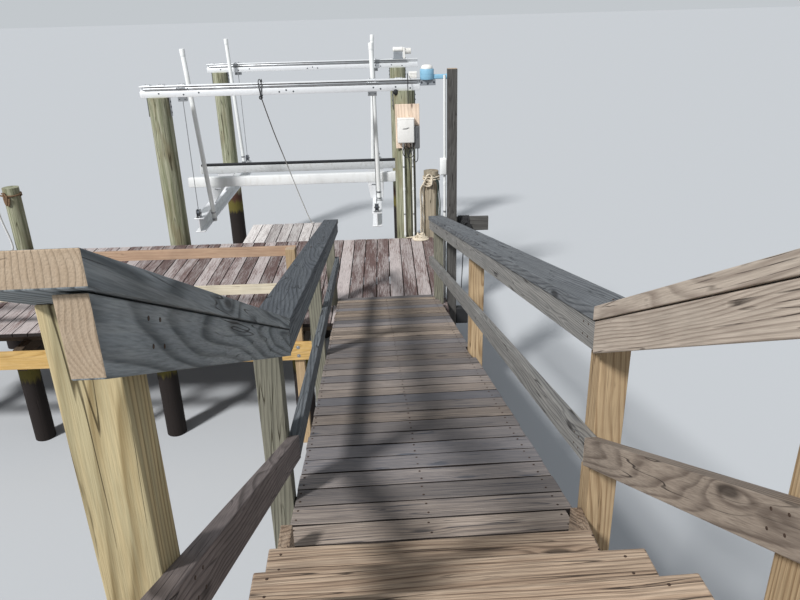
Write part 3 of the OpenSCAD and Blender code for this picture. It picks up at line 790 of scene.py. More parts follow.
def sweep(points, radius, name, sides=8, closed=False):
    """A rope or cable along a smooth line, with a UV map: x is metres along it, y the turn round it."""
    curve = bpy.data.curves.new(name, "CURVE")
    curve.dimensions = "3D"
    curve.bevel_depth = radius
    curve.bevel_resolution = max(1, sides // 4)
    curve.resolution_u = 4
    line = curve.splines.new("NURBS")
    line.points.add(len(points) - 1)
    for p, co in zip(line.points, points):
        p.co = (*co, 1.0)
    line.order_u = 3
    line.use_endpoint_u = not closed
    line.use_cyclic_u = closed
    obj = bpy.data.objects.new(name, curve)
    bpy.context.collection.objects.link(obj)
    pick(obj)
    bpy.ops.object.convert(target="MESH")
    obj = bpy.context.object
    mesh = obj.data
    size = ring_size(mesh)
    middles = ring_centres(mesh)
    along = [0.0]
    for a, b in zip(middles, middles[1:]):
        along.append(along[-1] + (b - a).length)
    while mesh.uv_layers:
        mesh.uv_layers.remove(mesh.uv_layers[0])
    layer = mesh.uv_layers.new(name="UVMap")
    for face in mesh.polygons:
        turns = [i % size for i in face.vertices]
        seam = max(turns) - min(turns) > size / 2
        for corner, i, turn in zip(face.loop_indices, face.vertices, turns):
            over = size if seam and turn < size / 2 else 0
            layer.data[corner].uv = (along[min(i // size, len(along) - 1)], (turn + over) / size)
    bpy.ops.object.mode_set(mode="EDIT")
    bpy.ops.mesh.select_all(action="SELECT")
    bpy.ops.mesh.fill_holes(sides=0)
    bpy.ops.object.mode_set(mode="OBJECT")
    return smooth(obj, 60)


def end_knot(place, radius, name):
    """A stopper knot at a rope's end: a little more than one round turn, rising as it goes."""
    wide = 2.1 * radius
    turns = [(wide * math.cos(a), wide * math.sin(a), radius * (0.2 + 0.8 * math.sin(0.5 * a)))
             for a in (k * 0.7 for k in range(11))]
    return sweep(placed(place, turns), radius, name)


class JETTY_OT_finishes(bpy.types.Operator):
    """Make the jetty's materials"""

    bl_idname = "jetty.finishes"
    bl_label = "Finishes"

    def execute(self, context):
        FINISH.update(make_finishes())
        return {"FINISHED"}


def board_row(node):
    """The two corners of a plate, and the count and pitch of the boards that cover it."""
    low, high = (Vector(c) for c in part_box(node))
    count = round((high.x - low.x) / bpy.context.scene.jetty_sizes.board_pitch)
    return low, high, count, (high.x - low.x) / count


def tread_y(k, m):
    """The middle of board m of tread k, in the frame at the foot."""
    return -(STAIR_START + 0.2185 + k * RUN + m * 0.125)


class JETTY_OT_deck(bpy.types.Operator):
    """Lay the boards of the deck and the finger deck"""

    bl_idname = "jetty.deck"
    bl_label = "Deck boards"

    def execute(self, context):
        sizes = context.scene.jetty_sizes
        rng = random.Random(11)
        for node, colour in (("deck_boards", "deck"), ("finger_boards", "finger")):
            low, high, count, pitch = board_row(node)
            # the boards' sides take the joint finish, painted shade
            board = plank(high.y - low.y - 0.006, pitch - sizes.board_gap, (colour, "joint"), sizes.arris,
                          cuts=7)
            boards = []
            for i in range(count):
                place = (low.x + (i + 0.5) * pitch, (low.y + high.y) / 2 + rng.uniform(-0.003, 0.003),
                         high.z - 0.0002 - rng.random() * 0.0015)
                boards.append(laid(board, Matrix.Translation(place) @ Matrix.Rotation(math.pi / 2, 4, "Z"),
                                   rng))
            drop_template(board)
            finish(join(node + "_planks", boards), None, "deck_wood", node)
        return {"FINISHED"}


class JETTY_OT_ramp(bpy.types.Operator):
    """Lay the boards of the ramp and the treads of the steps"""

    bl_idname = "jetty.ramp"
    bl_label = "Ramp and steps"

    def execute(self, context):
        sizes = context.scene.jetty_sizes
        rng = random.Random(21)
        pitch = RAMP_LENGTH / RAMP_BOARDS
        wide = pitch - sizes.board_gap - 0.002
        # beside a post of the right railing the boards are cut short
        # the boards' sides take the joint finish, painted shade
        board, short = (plank(length, wide, ("ramp", "joint"), sizes.arris) for length in (1.014, 0.983))
        boards = []
        for i in range(RAMP_BOARDS):
            middle = RAMP_START + (i + 0.5) * pitch * math.cos(SLOPE)
            beside = any(s - pitch / 2 < middle < s + POST + pitch / 2 for s in RIGHT_POSTS)
            slide = -0.490 + (0.4915 if beside else 0.507) + rng.uniform(-0.003, 0.003)
            place = (slide, -(i + 0.5) * pitch, -0.0003 - rng.random() * 0.002)
            boards.append(laid(short if beside else board, ON_RAMP @ Matrix.Translation(place), rng,
                               wear=0.002))
        drop_template(board)
        drop_template(short)
        finish(join("ramp_planks", boards), None, "ramp_wood", "ramp_boards")

        treads = []
        for k in range(TREADS):
            left = 0.515 if k < 3 else 0.490
            right = 0.480 if k == 0 else (0.520 + 0.020 * k if k < 3 else 0.490)
            # the treads' sides take painted shade
            board = plank(left + right - 0.004, 0.119, ("tread", "shaded_tread_side"), 0.005)
            for m in (0, 1):
                place = ((right - left) / 2, tread_y(k, m), STAIR_FOOT_Z + (k + 1) * RISE - 0.0003)
                treads.append(laid(board, AT_FOOT @ Matrix.Translation(place), rng, wear=0.002))
            drop_template(board)
        finish(join("tread_planks", treads), None, "ramp_wood", "stair_treads")
        return {"FINISHED"}


def ramp_part(on_ramp, on_stairs):
    """Chooses between two finishes by the place of a railing's piece."""
    return lambda middle: on_ramp if middle.y > FOOT.y - STAIR_START + 0.05 else on_stairs


def rail_finish(side, on_ramp, upper, lower):
    """Chooses a rail's finish: one on the ramp, and on the steps one for the upper and one, in painted shade,
    for the lower.
    """
    def choose(middle):
        s = FOOT.y - middle.y
        if s < STAIR_START - 0.05:
            return on_ramp
        return upper if middle.z > rail_top(side, s) - 0.25 else lower
    return choose


def right_post(middle):
    """The right railing's post at the foot of the ramp has turned grey, the others are still oiled."""
    return "post_grey" if middle.y > FOOT.y - 0.6 else "post_orange"


class JETTY_OT_timbers(bpy.types.Operator):
    """Dress the posts, rails, caps, joists and piles as solid timber"""

    bl_idname = "jetty.timbers"
    bl_label = "Posts, rails and frame"

    def execute(self, context):
        plan = [
            # railing finishes: the left caps and rails in painted shade, the right ones on the steps in painted
            # sunlight, the lower rails on the steps in painted shade
            ("left_caps", ramp_part("cap_dark", "rail_stair"), "rail_wood"),
            ("right_caps", ramp_part("cap_grey", "rail_warm"), "rail_wood"),
            ("left_rails", rail_finish(-1, "rail_dark", "rail_stair", "rail_plum"), "rail_wood"),
            ("right_rails", rail_finish(1, "rail", "rail_warm", "rail_brown"), "rail_wood"),
            ("left_posts", ramp_part("post_grey", "post"), "post_wood"),
            ("right_posts", right_post, "post_wood"),
            ("fence_posts", "post_orange", "post_wood"),
            ("fence_rails", lambda middle: "fence_rail" if middle.z > TOP + 0.5 else "pale_rail",
             "fresh_wood"),
            ("lower_waler", "fresh", "fresh_wood"), ("tall_post", "grey_post", "rail_wood"),
            ("cross_arm", "grey_post", "rail_wood"), ("deck_joists", "frame", "frame_wood"),
            ("deck_caps", "frame", "frame_wood"), ("far_waler", "frame", "frame_wood"),
            ("finger_frame", "frame", "frame_wood"), ("ramp_stringers", "frame", "frame_wood"),
            ("stair_stringers", "tread", "frame_wood"), ("control_board", "ply", "plywood"),
        ]
        for i, (node, choose, slot) in enumerate(plan):
            dressed(node, choose, slot, arris=0.002 if "caps" in node or "rails" in node else 0.003,
                    seed=31 + i, ends=slot in ("rail_wood", "post_wood", "fresh_wood"),
                    sink=0.003 if node in ("left_rails", "right_rails") else 0.0)
        # the deck's piles take the round timber in painted shade
        for node, finish_name in (("lift_piles", "pile"), ("deck_piles", "shaded_pile"),
                                  ("rope_pile", "worn_pile"), ("mooring_pile", "pile")):
            NODES[node].data.materials.clear()
            NODES[node].data.materials.append(FINISH[finish_name])
        return {"FINISHED"}


class JETTY_OT_fixings(bpy.types.Operator):
    """Drive the screws of the boards, the nails of the railings and the bolts of the fence"""

    bl_idname = "jetty.fixings"
    bl_label = "Screws, nails and bolts"

    def execute(self, context):
        size = context.scene.jetty_sizes.screw_head / 2
        nail = size * 0.8
        rng = random.Random(41)
        low, _, count, pitch = board_row("deck_boards")
        places = [(low.x + (i + 0.5) * pitch + side + rng.uniform(-0.004, 0.004),
                   y + rng.uniform(-0.006, 0.006), TOP - 0.001)
                  for i in range(count) for y in JOIST_Y for side in (-0.042, 0.042)]
        low, _, count, pitch = board_row("finger_boards")
        places += [(low.x + (i + 0.5) * pitch + side, y, TOP - 0.001)
                   for i in range(count) for y in (-0.05, 0.59) for side in (-0.040, 0.040)]
        finish(heads("deck_screws", places, UP, size, 0.0015), "rust", "deck_wood")

        square = (ON_RAMP.to_3x3() @ Vector(UP)).normalized()
        pitch = RAMP_LENGTH / RAMP_BOARDS
        places = [ON_RAMP @ Vector((t + rng.uniform(-0.004, 0.004), -(i + 0.5) * pitch + side, -0.001))
                  for i in range(RAMP_BOARDS) for t in (-0.472, 0.0, 0.472) for side in (-0.036, 0.036)]
        places += [AT_FOOT @ Vector((t, tread_y(k, m) - side, STAIR_FOOT_Z + (k + 1) * RISE - 0.001))
                   for k in range(TREADS) for m in (0, 1) for t in (-0.474, 0.474) for side in (-0.03, 0.03)]
        finish(heads("ramp_screws", places, square, size, 0.0015), "rust", "ramp_wood")

        # two nails through each rail at every post, and two through the cap
        for sign, posts in ((-1, LEFT_POSTS), (1, RIGHT_POSTS)):
            spots = [s + side for s in (*posts, STAIR_POST) for side in (0.022, 0.066)]
            nails = [AT_FOOT @ Vector((sign * (HALF - BOARD), -s, edge - deep)) for s in spots
                     for edge in (rail_top(sign, s), middle_top(sign, s)) for deep in (0.024, 0.064)]
            toward = AT_FOOT.to_3x3() @ Vector((-sign, 0, 0))
            finish(heads("rail_nails", nails, toward, nail, 0.001), "rust", "rail_wood")
            tops = [AT_FOOT @ Vector((sign * (HALF + 0.045), -s,
                                      rail_top(sign, s) + BOARD * 1.03)) for s in spots]
            finish(heads("cap_nails", tops, UP, nail, 0.003), "rust", "rail_wood")

        bolts = [(x, -2.982, TOP - 0.232 + step) for x in FENCE_X for step in (-0.045, 0.045)]
        finish(heads("waler_bolts", bolts, SHOREWARD, 0.011, 0.006, washer=0.018), "steel", "fresh_wood")
        return {"FINISHED"}


class JETTY_OT_lift(bpy.types.Operator):
    """Finish the lift's beams, winders, brackets and the cables' anchors"""

    bl_idname = "jetty.lift"
    bl_label = "Lift beams and winders"

    def execute(self, context):
        for node in ("near_beam", "far_beam"):
            eased(node, "aluminium", "aluminium")
        # bolts along the beams' front faces, and splice plates on the top flanges
        marks = (-3.013, -2.711, -2.522, -1.535, -1.449, -1.362, -0.375, -0.286, -0.10, 0.08)
        bolts = [(x, y - BEAM_HALF, BEAM_Z + (0.030 if i % 2 else 0.048))
                 for y in BEAM_Y for i, x in enumerate(marks)]
        finish(heads("beam_bolts", bolts, SHOREWARD, 0.007, 0.006, washer=0.010), "dark_steel", "aluminium")
        plates, studs = [], []
        for y in BEAM_Y:
            for x in (-3.16, -2.98, -2.735, -0.39, -0.06, 0.12):
                plates.append(block((x - 0.045, y - 0.048, BEAM_TOP + 0.0003),
                                    (x + 0.045, y + 0.048, BEAM_TOP + 0.007)))
                studs += [(x + dx, y + dy, BEAM_TOP + 0.007)
                          for dx in (-0.025, 0.025) for dy in (-0.03, 0.03)]
        finish(join("splice_plates", plates), "aluminium", "aluminium")
        finish(heads("plate_nuts", studs, UP, 0.008, 0.009), "steel", "steel")

        eased("winder_pipes", "steel", "aluminium", width=0.003)
        wraps, collars = [], []
        collar = [(0, 0.0195), (0.002, 0.0245), (0.012, 0.0245), (0.014, 0.0195)]
        for y in BEAM_Y:
            for x in CROSS_X:
                turns = [(-0.055 + k * 0.0092 / 12, 0.0225 * math.cos(k * math.pi / 6),
                          0.0225 * math.sin(k * math.pi / 6)) for k in range(145)]
                wraps.append(sweep(placed((x, y + PIPE_Y, PIPE_Z), turns), 0.004, "wrap", 4))
                for side in (-0.07, 0.07):
                    collars.append(stand(turned(collar), (x + side, y + PIPE_Y, PIPE_Z), RIGHT))
        finish(join("cable_wraps", wraps), "steel", "steel")
        finish(join("winder_collars", collars), "steel", "steel")

        eased("pile_brackets", "steel", "steel")
        lags = [heads("lags", [(x + sign * 0.1405, y, BEAM_Z - drop)
                               for x, y in PILES for drop in (0.055, 0.115, 0.185)],
                      (sign, 0, 0), 0.010, 0.007, washer=0.014) for sign in (1, -1)]
        finish(join("bracket_bolts", lags), "dark_steel", "steel")

        # each cable hangs from two small rollers between two plates under the beam
        cheeks, rollers, pins = [], [], []
        groove = [(-0.012, 0.015), (-0.009, 0.019), (-0.003, 0.015), (0.003, 0.015), (0.009, 0.019),
                  (0.012, 0.015)]
        for x, y in CABLES:
            for side in (-0.017, 0.017):
                cheeks.append(block((x - 0.055, y + side - 0.003, BEAM_Z - 0.052),
                                    (x + 0.055, y + side + 0.003, BEAM_Z - 0.0003), 0.002))
            for dx in (-0.034, 0.034):
                rollers.append(stand(turned(groove), (x + dx, y, BEAM_Z - 0.026), (0, 1, 0)))
                pins.append((x + dx, y - 0.020, BEAM_Z - 0.026))
        finish(join("anchor_plates", cheeks), "steel", "steel")
        finish(join("anchor_rollers", rollers), "rust", "steel")
        finish(heads("anchor_pins", pins, SHOREWARD, 0.008, 0.006), "dark_steel", "steel")
        return {"FINISHED"}


class JETTY_OT_cradle(bpy.types.Operator):
    """Finish the cross beams, gussets, bunks, sheaves, guide posts and cables"""

    bl_idname = "jetty.cradle"
    bl_label = "Lift cradle"

    def execute(self, context):
        beams = eased("cross_beams", "aluminium", "aluminium", width=0.003, body="cradle")
        beams.data.materials.append(FINISH["bunk_web"])
        for face in beams.data.polygons:
            inner = abs(face.normal.x) > 0.9 and min(abs(face.center.x - x) for x in CROSS_X) < 0.045
            face.material_index = int(inner)

        gussets = join("gussets", [ease(part, 0.0015) for part in taken("bunk_brackets")])
        cutter = join("cutter", [cube((long, 0.2, 0.024), (x, y, 1.805))
                                 for long, x in ((0.080, CROSS_X[0] + 0.110), (0.055, CROSS_X[1] - 0.045))
                                 for y in BUNK_Y])
        pick(gussets)
        hole = gussets.modifiers.new("Slots", "BOOLEAN")
        hole.operation = "DIFFERENCE"
        hole.object = cutter
        bpy.ops.object.modifier_apply(modifier=hole.name)
        drop_template(cutter)
        finish(gussets, "aluminium", "aluminium", "bunk_brackets", body="cradle")

        # hollow bunks with white end caps; the far one carries black carpet over its top
        for node, y, z, colour in (("near_bunk", BUNK_Y[0], BUNK_Z[0], "vinyl"),
                                   ("far_bunk", BUNK_Y[1], BUNK_Z[1], "bunk_web")):
            eased(node, colour, "aluminium", width=0.006, body="cradle")
            caps = []
            for x, sign in ((BUNK_X[0], -1), (BUNK_X[1], 1)):
                caps.append(block((x - 0.004, y - 0.046, z - 0.001),
                                  (x + 0.004, y + 0.046, z + BUNK_H + 0.001), 0.002))
                caps.append(block((x + sign * 0.003, y - 0.034, z + 0.012),
                                  (x + sign * 0.007, y + 0.034, z + BUNK_H - 0.012), 0.0015))
            finish(join(node + "_ends", caps), "white", "aluminium", body="cradle")
        y, z = BUNK_Y[1], BUNK_Z[1] + BUNK_H
        carpet = block((BUNK_X[0] + 0.01, y - 0.0485, z - 0.024), (BUNK_X[1] - 0.01, y + 0.0485, z + 0.0045),
                       0.007, 3)
        finish(carpet, "carpet", "black_plastic", body="cradle")

        # each cable runs down to a sheave between two plates on a cross beam
        plates, wheels, nuts = [], [], []
        axle = CROSS_TOP + 0.062
        groove = [(-0.0172, 0.046), (-0.015, 0.050), (-0.011, 0.050), (-0.005, 0.041), (0.005, 0.041),
                  (0.011, 0.050), (0.015, 0.050), (0.0172, 0.046)]
        for x, y in CABLES:
            for out, half, deep, tall, edge in ((0.022, 0.004, 0.035, 0.110, 0.003),
                                                (0.032, 0.014, 0.030, 0.008, 0.002)):
                for side in (-out, out):
                    plates.append(block((x + side - half, y - deep, CROSS_TOP + 0.0003),
                                        (x + side + half, y + deep, CROSS_TOP + tall), edge))
            wheels.append(stand(turned(groove, 32), (x, y, axle), RIGHT))
            nuts.append(tube((x - 0.032, y, axle), (x + 0.032, y, axle), 0.007, 12))
            for sign in (1, -1):
                nuts.append(heads("nut", [(x + sign * 0.027, y, axle)], (sign, 0, 0), 0.012, 0.008))
        finish(join("sheave_plates", plates), "steel", "steel", "sheave_blocks", body="cradle")
        finish(join("sheave_wheels", wheels), "dark_steel", "steel", body="cradle")
        finish(join("sheave_nuts", nuts), "rust", "steel", body="cradle")

        poles, straps, strap_bolts = [], [], []
        for (x, y, z), lean in GUIDES:
            base = Vector((x, y, z))
            top = Vector((x - math.tan(math.radians(lean)) * (GUIDE_TOP - z), y, GUIDE_TOP))
            axis = (top - base).normalized()
            poles.append(smooth(ease(tube(base, top, GUIDE_R, 32), 0.002)))
            cap = [(-0.038, 0.0307), (-0.038, 0.0335), (0.040, 0.0335), (0.046, 0.031), (0.049, 0.022)]
            poles.append(stand(turned(cap, 32), top - axis * 0.036, axis))
            for high_at in (0.030, 0.120):
                spot = base + axis * high_at
                band = turned([(-0.012, 0.0305), (-0.012, 0.0330), (0.012, 0.0330), (0.012, 0.0305)], 32)
                straps.append(stand(band, spot, axis))
                strap_bolts.append(spot + Vector((0.0, -0.033, 0.0)))
            if z > CROSS_TOP:
                straps.append(block((x - 0.05, y - 0.045, z), (x + 0.05, y + 0.045, z + 0.007), 0.002))
        finish(smooth(join("guide_tubes", poles)), "white", "white_plastic", "guide_posts", body="cradle")
        finish(join("guide_straps", straps), "steel", "steel", body="cradle")
        finish(heads("guide_bolts", strap_bolts, SHOREWARD, 0.006, 0.005), "dark_steel", "steel",
               body="cradle")

        cables = []
        steps = 24
        rise = BEAM_Z - 0.0005 - SHEAVE_TOP
        for x, y in CABLES:
            line = [(x, y, SHEAVE_TOP + rise * i / steps) for i in range(steps + 1)]
            cables.append(sweep(line, 0.0045, "cable", 4))
        cable = finish(join("hoist_cables", cables), "wire", "steel", "lift_cables", body=None)
        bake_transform(cable)
        return {"FINISHED"}


class JETTY_OT_power(bpy.types.Operator):
    """Build the drives, the control box on its board, the conduits and the black leads"""

    bl_idname = "jetty.power"
    bl_label = "Drives and controls"

    def execute(self, context):
        self.drives(BEAM_TOP)
        self.boxes(FACE_Y - 0.138)
        self.conduits(FACE_Y - 0.032)
        self.leads(FACE_Y - 0.07)
        knob = stand(turned([(0, 0.020), (0.004, 0.032), (0.045, 0.034), (0.055, 0.026), (0.058, 0.012)]),
                     (-0.100, -0.056, BEAM_Z - 0.012), SHOREWARD)
        finish(knob, "black", "black_plastic")
        post = eased("post_block", "black", "black_plastic", width=0.008)
        lid = block((0.430, -2.4192, TOP - 0.243), (0.540, -2.414, TOP - 0.087))
        finish(join("post_box", [post, lid]), "black", "black_plastic", "post_block")
        return {"FINISHED"}

    def drives(self, top):
        """Both drives stand on the beams' tops."""
        # near drive: louvred motor box, gear plate, round light blue cover with a white lid, and its arm
        box = block((0.066, -0.055, top), (0.169, 0.045, top + 0.080), 0.006, 3)
        slats = [block((0.074, -0.059, top + 0.012 + i * 0.016), (0.161, -0.053, top + 0.020 + i * 0.016),
                       0.0015)
                 for i in range(4)]
        finish(join("near_motor", [box] + slats), "box", "white_plastic", "near_drive")
        plate = block((0.2003, -0.045, top - 0.087), (0.396, 0.045, top - 0.022), 0.006)
        rim = block((0.2003, -0.050, top - 0.030), (0.396, 0.050, top - 0.020))
        finish(join("gear_plate", [plate, rim]), "grey_cast", "steel")
        rounds = [(0, 0.060), (0.003, 0.083), (0.010, 0.0865), (0.060, 0.0865), (0.0605, 0.0845),
                  (0.0645, 0.0845), (0.065, 0.0865), (0.118, 0.0865), (0.126, 0.083), (0.129, 0.062)]
        cover = stand(turned(rounds, 48), (0.2915, 0, top - 0.0205))
        dome = [(0, 0.062), (0.001, 0.071), (0.020, 0.071), (0.036, 0.062), (0.046, 0.040), (0.0485, 0.012)]
        finish(stand(turned(dome, 48), (0.2915, 0, top + 0.1085)), "box", "white_plastic")
        arm = block((0.346, -0.028, top - 0.017), (0.538, 0.028, top + 0.038), 0.014, 3)
        end = stand(turned([(0, 0.022), (0.003, 0.034), (0.012, 0.034), (0.015, 0.022)], 32),
                    (0.525, 0, top + 0.0105), RIGHT)
        finish(join("gear_cover", [cover, arm, end]), "blue", "blue_plastic")
        bolts = [(0.222, -0.045, top - 0.05), (0.374, -0.045, top - 0.05), (0.298, -0.045, top - 0.066)]
        finish(heads("gear_bolts", bolts, SHOREWARD, 0.008, 0.006, washer=0.013), "dark_steel", "steel")

        # far drive: gearbox, motor with end bells, mounting plate and the ribbed second half
        gear = block((-0.060, 3.550, top), (0.085, 3.650, top + 0.115), 0.008, 3)
        flange = block((-0.072, 3.538, top), (0.097, 3.662, top + 0.010))
        finish(join("far_gearbox", [gear, flange]), "grey_cast", "steel")
        bells = [(0, 0.026), (0.004, 0.037), (0.012, 0.042), (0.030, 0.042), (0.031, 0.039), (0.140, 0.039),
                 (0.141, 0.042), (0.160, 0.042), (0.168, 0.037), (0.172, 0.026)]
        motor = stand(turned(bells, 32), (-0.070, 3.6, top + 0.150), RIGHT)
        mount = block((0.103, 3.538, top), (0.139, 3.662, top + 0.178), 0.008, 3)
        ribs = [(0.0, 0.045)]
        for z in (0.006 + i * 0.014 for i in range(7)):
            ribs += [(z, 0.045), (z + 0.001, 0.053), (z + 0.007, 0.053), (z + 0.008, 0.045)]
        ribbed = stand(turned(ribs + [(0.103, 0.040)], 32), (0.138, 3.6, top + 0.120), RIGHT)
        finish(join("far_motor", [motor, mount, ribbed]), "box", "white_plastic", "far_drive")

    def boxes(self, front):
        """Control box: body, hooded door with a latch; the switch box beside it is dark grey."""
        back = FACE_Y - 0.018
        body = block((-0.095, front + 0.014, TOP + 1.240), (0.115, back, TOP + 1.540), 0.012, 3)
        door = block((-0.089, front, TOP + 1.248), (0.109, front + 0.016, TOP + 1.532), 0.007, 3)
        hood = block((-0.096, front - 0.002, TOP + 1.526), (0.116, back, TOP + 1.541), 0.006, 3)
        hinge = [tube((-0.093, front + 0.006, TOP + z), (-0.093, front + 0.006, TOP + z + 0.04), 0.005, 12)
                 for z in (1.28, 1.46)]
        finish(smooth(join("control_box", [body, door, hood] + hinge)), "box", "white_plastic",
               "control_boxes")
        pull = placed((0, front, TOP), [(-0.030, -0.001, 1.415), (-0.018, -0.006, 1.424),
                                        (0.010, -0.007, 1.420), (0.034, -0.006, 1.433), (0.050, -0.001, 1.430)])
        finish(sweep(pull, 0.003, "pull", 6), "grey", "black_plastic")
        case = block((0.1153, FACE_Y - 0.104, TOP + 1.165), (0.178, back, TOP + 1.440), 0.008, 3)
        lid = block((0.118, FACE_Y - 0.110, TOP + 1.172), (0.1755, FACE_Y - 0.102, TOP + 1.433), 0.004)
        lever = block((0.136, FACE_Y - 0.116, TOP + 1.31), (0.156, FACE_Y - 0.108, TOP + 1.36))
        finish(join("switch_box", [case, lid, lever]), "grey", "black_plastic")

    def conduits(self, y):
        """Conduits with couplings and straps; the one on the tall post has a fitting half way up."""
        parts, straps = [], []
        for x, y, high, r in ((-0.025, y, 1.2397, 0.0125), (0.090, y, 1.2397, 0.010),
                              (0.315, -2.312, 2.220, 0.012)):
            parts.append(tube((x, y, TOP), (x, y, TOP + high), r))
            for z in (0.02, 0.62, 1.19):
                collar = turned([(0, r), (0.001, r + 0.003), (0.034, r + 0.003), (0.035, r)])
                parts.append(stand(collar, (x, y, TOP + z)))
            for z in (0.30, 0.92):
                band = turned([(0, r), (0, r + 0.002), (0.016, r + 0.002), (0.016, r)])
                straps.append(stand(band, (x, y, TOP + z)))
        fitting = block((0.269, -2.346, TOP + 1.296), (0.3347, -2.296, TOP + 1.459), 0.008, 3)
        cover = block((0.275, -2.350, TOP + 1.306), (0.329, -2.344, TOP + 1.449))
        finish(smooth(join("conduit_runs", parts + [fitting, cover])), "white", "white_plastic", "conduits")
        finish(join("conduit_straps", straps), "steel", "steel")

    def leads(self, y):
        """Black leads: two loop under the control box and run down into the waler, one joins the boxes, and
        one comes over the near beam."""
        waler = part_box("far_waler")[1][1] - 0.004 - y
        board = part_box("control_board")[1][2] - 0.004 - BEAM_TOP
        box, drive = (0, y, TOP), (0.048, 0, BEAM_TOP)
        runs = [
            (box, [(0.020, 0, 1.245), (0.016, -0.01, 1.17), (0.020, -0.03, 1.10), (0.055, -0.045, 1.045),
                   (0.100, -0.03, 1.08), (0.115, -0.015, 1.14), (0.085, 0, 1.185), (0.045, 0.01, 1.14),
                   (0.040, 0.012, 1.04), (0.052, 0.025, 0.90), (0.064, 0.045, 0.70), (0.064, 0.045, 0.05),
                   (0.064, 0.038, -0.06), (0.064, 0.005, -0.13), (0.064, waler, -0.145)]),
            (box, [(0.060, 0, 1.245), (0.066, -0.015, 1.18), (0.050, -0.045, 1.10), (0.015, -0.060, 1.055),
                   (-0.030, -0.035, 1.085), (-0.035, -0.005, 1.145), (0.000, 0.025, 1.19),
                   (0.050, 0.035, 1.165),
                   (0.090, 0.035, 1.08), (0.108, 0.035, 0.90), (0.112, 0.035, 0.50), (0.112, 0.035, 0.05),
                   (0.112, 0.030, -0.06), (0.112, 0, -0.13), (0.112, waler, -0.145)]),
            (box, [(0.154, -0.022, 1.17), (0.155, -0.022, 1.07), (0.152, -0.018, 1.02),
                   (0.127, -0.002, 0.985), (0.105, 0.014, 1.02), (0.104, 0.018, 1.08), (0.104, 0.018, 1.245)]),
            (drive, [(0, -0.045, 0.060), (0, -0.085, 0.062), (0, -0.120, 0.035), (0, -0.135, -0.020),
                     (0, -0.143, -0.100), (0, FACE_Y - 0.010, -0.160), (0, FACE_Y - 0.010, -0.200),
                     (0, FACE_Y - 0.010, board)]),
        ]
        for number, (origin, points) in enumerate(runs, 1):
            lead = finish(sweep(placed(origin, points), LEAD_R, f"lead_{number}"), "black", "black_plastic")


def wound(centre, radius, z, turns, rise, rope, rng):
    """Rope wound round a pile: a helix with slack in it."""
    slack = 0.004
    return [(centre[0] + (radius + rope + rng.random() * slack) * math.cos(k * math.pi / 8),
             centre[1] + (radius + rope + rng.random() * slack) * math.sin(k * math.pi / 8),
             z + rise * k / 16 + rng.uniform(-slack, slack)) for k in range(int(turns * 16) + 1)]


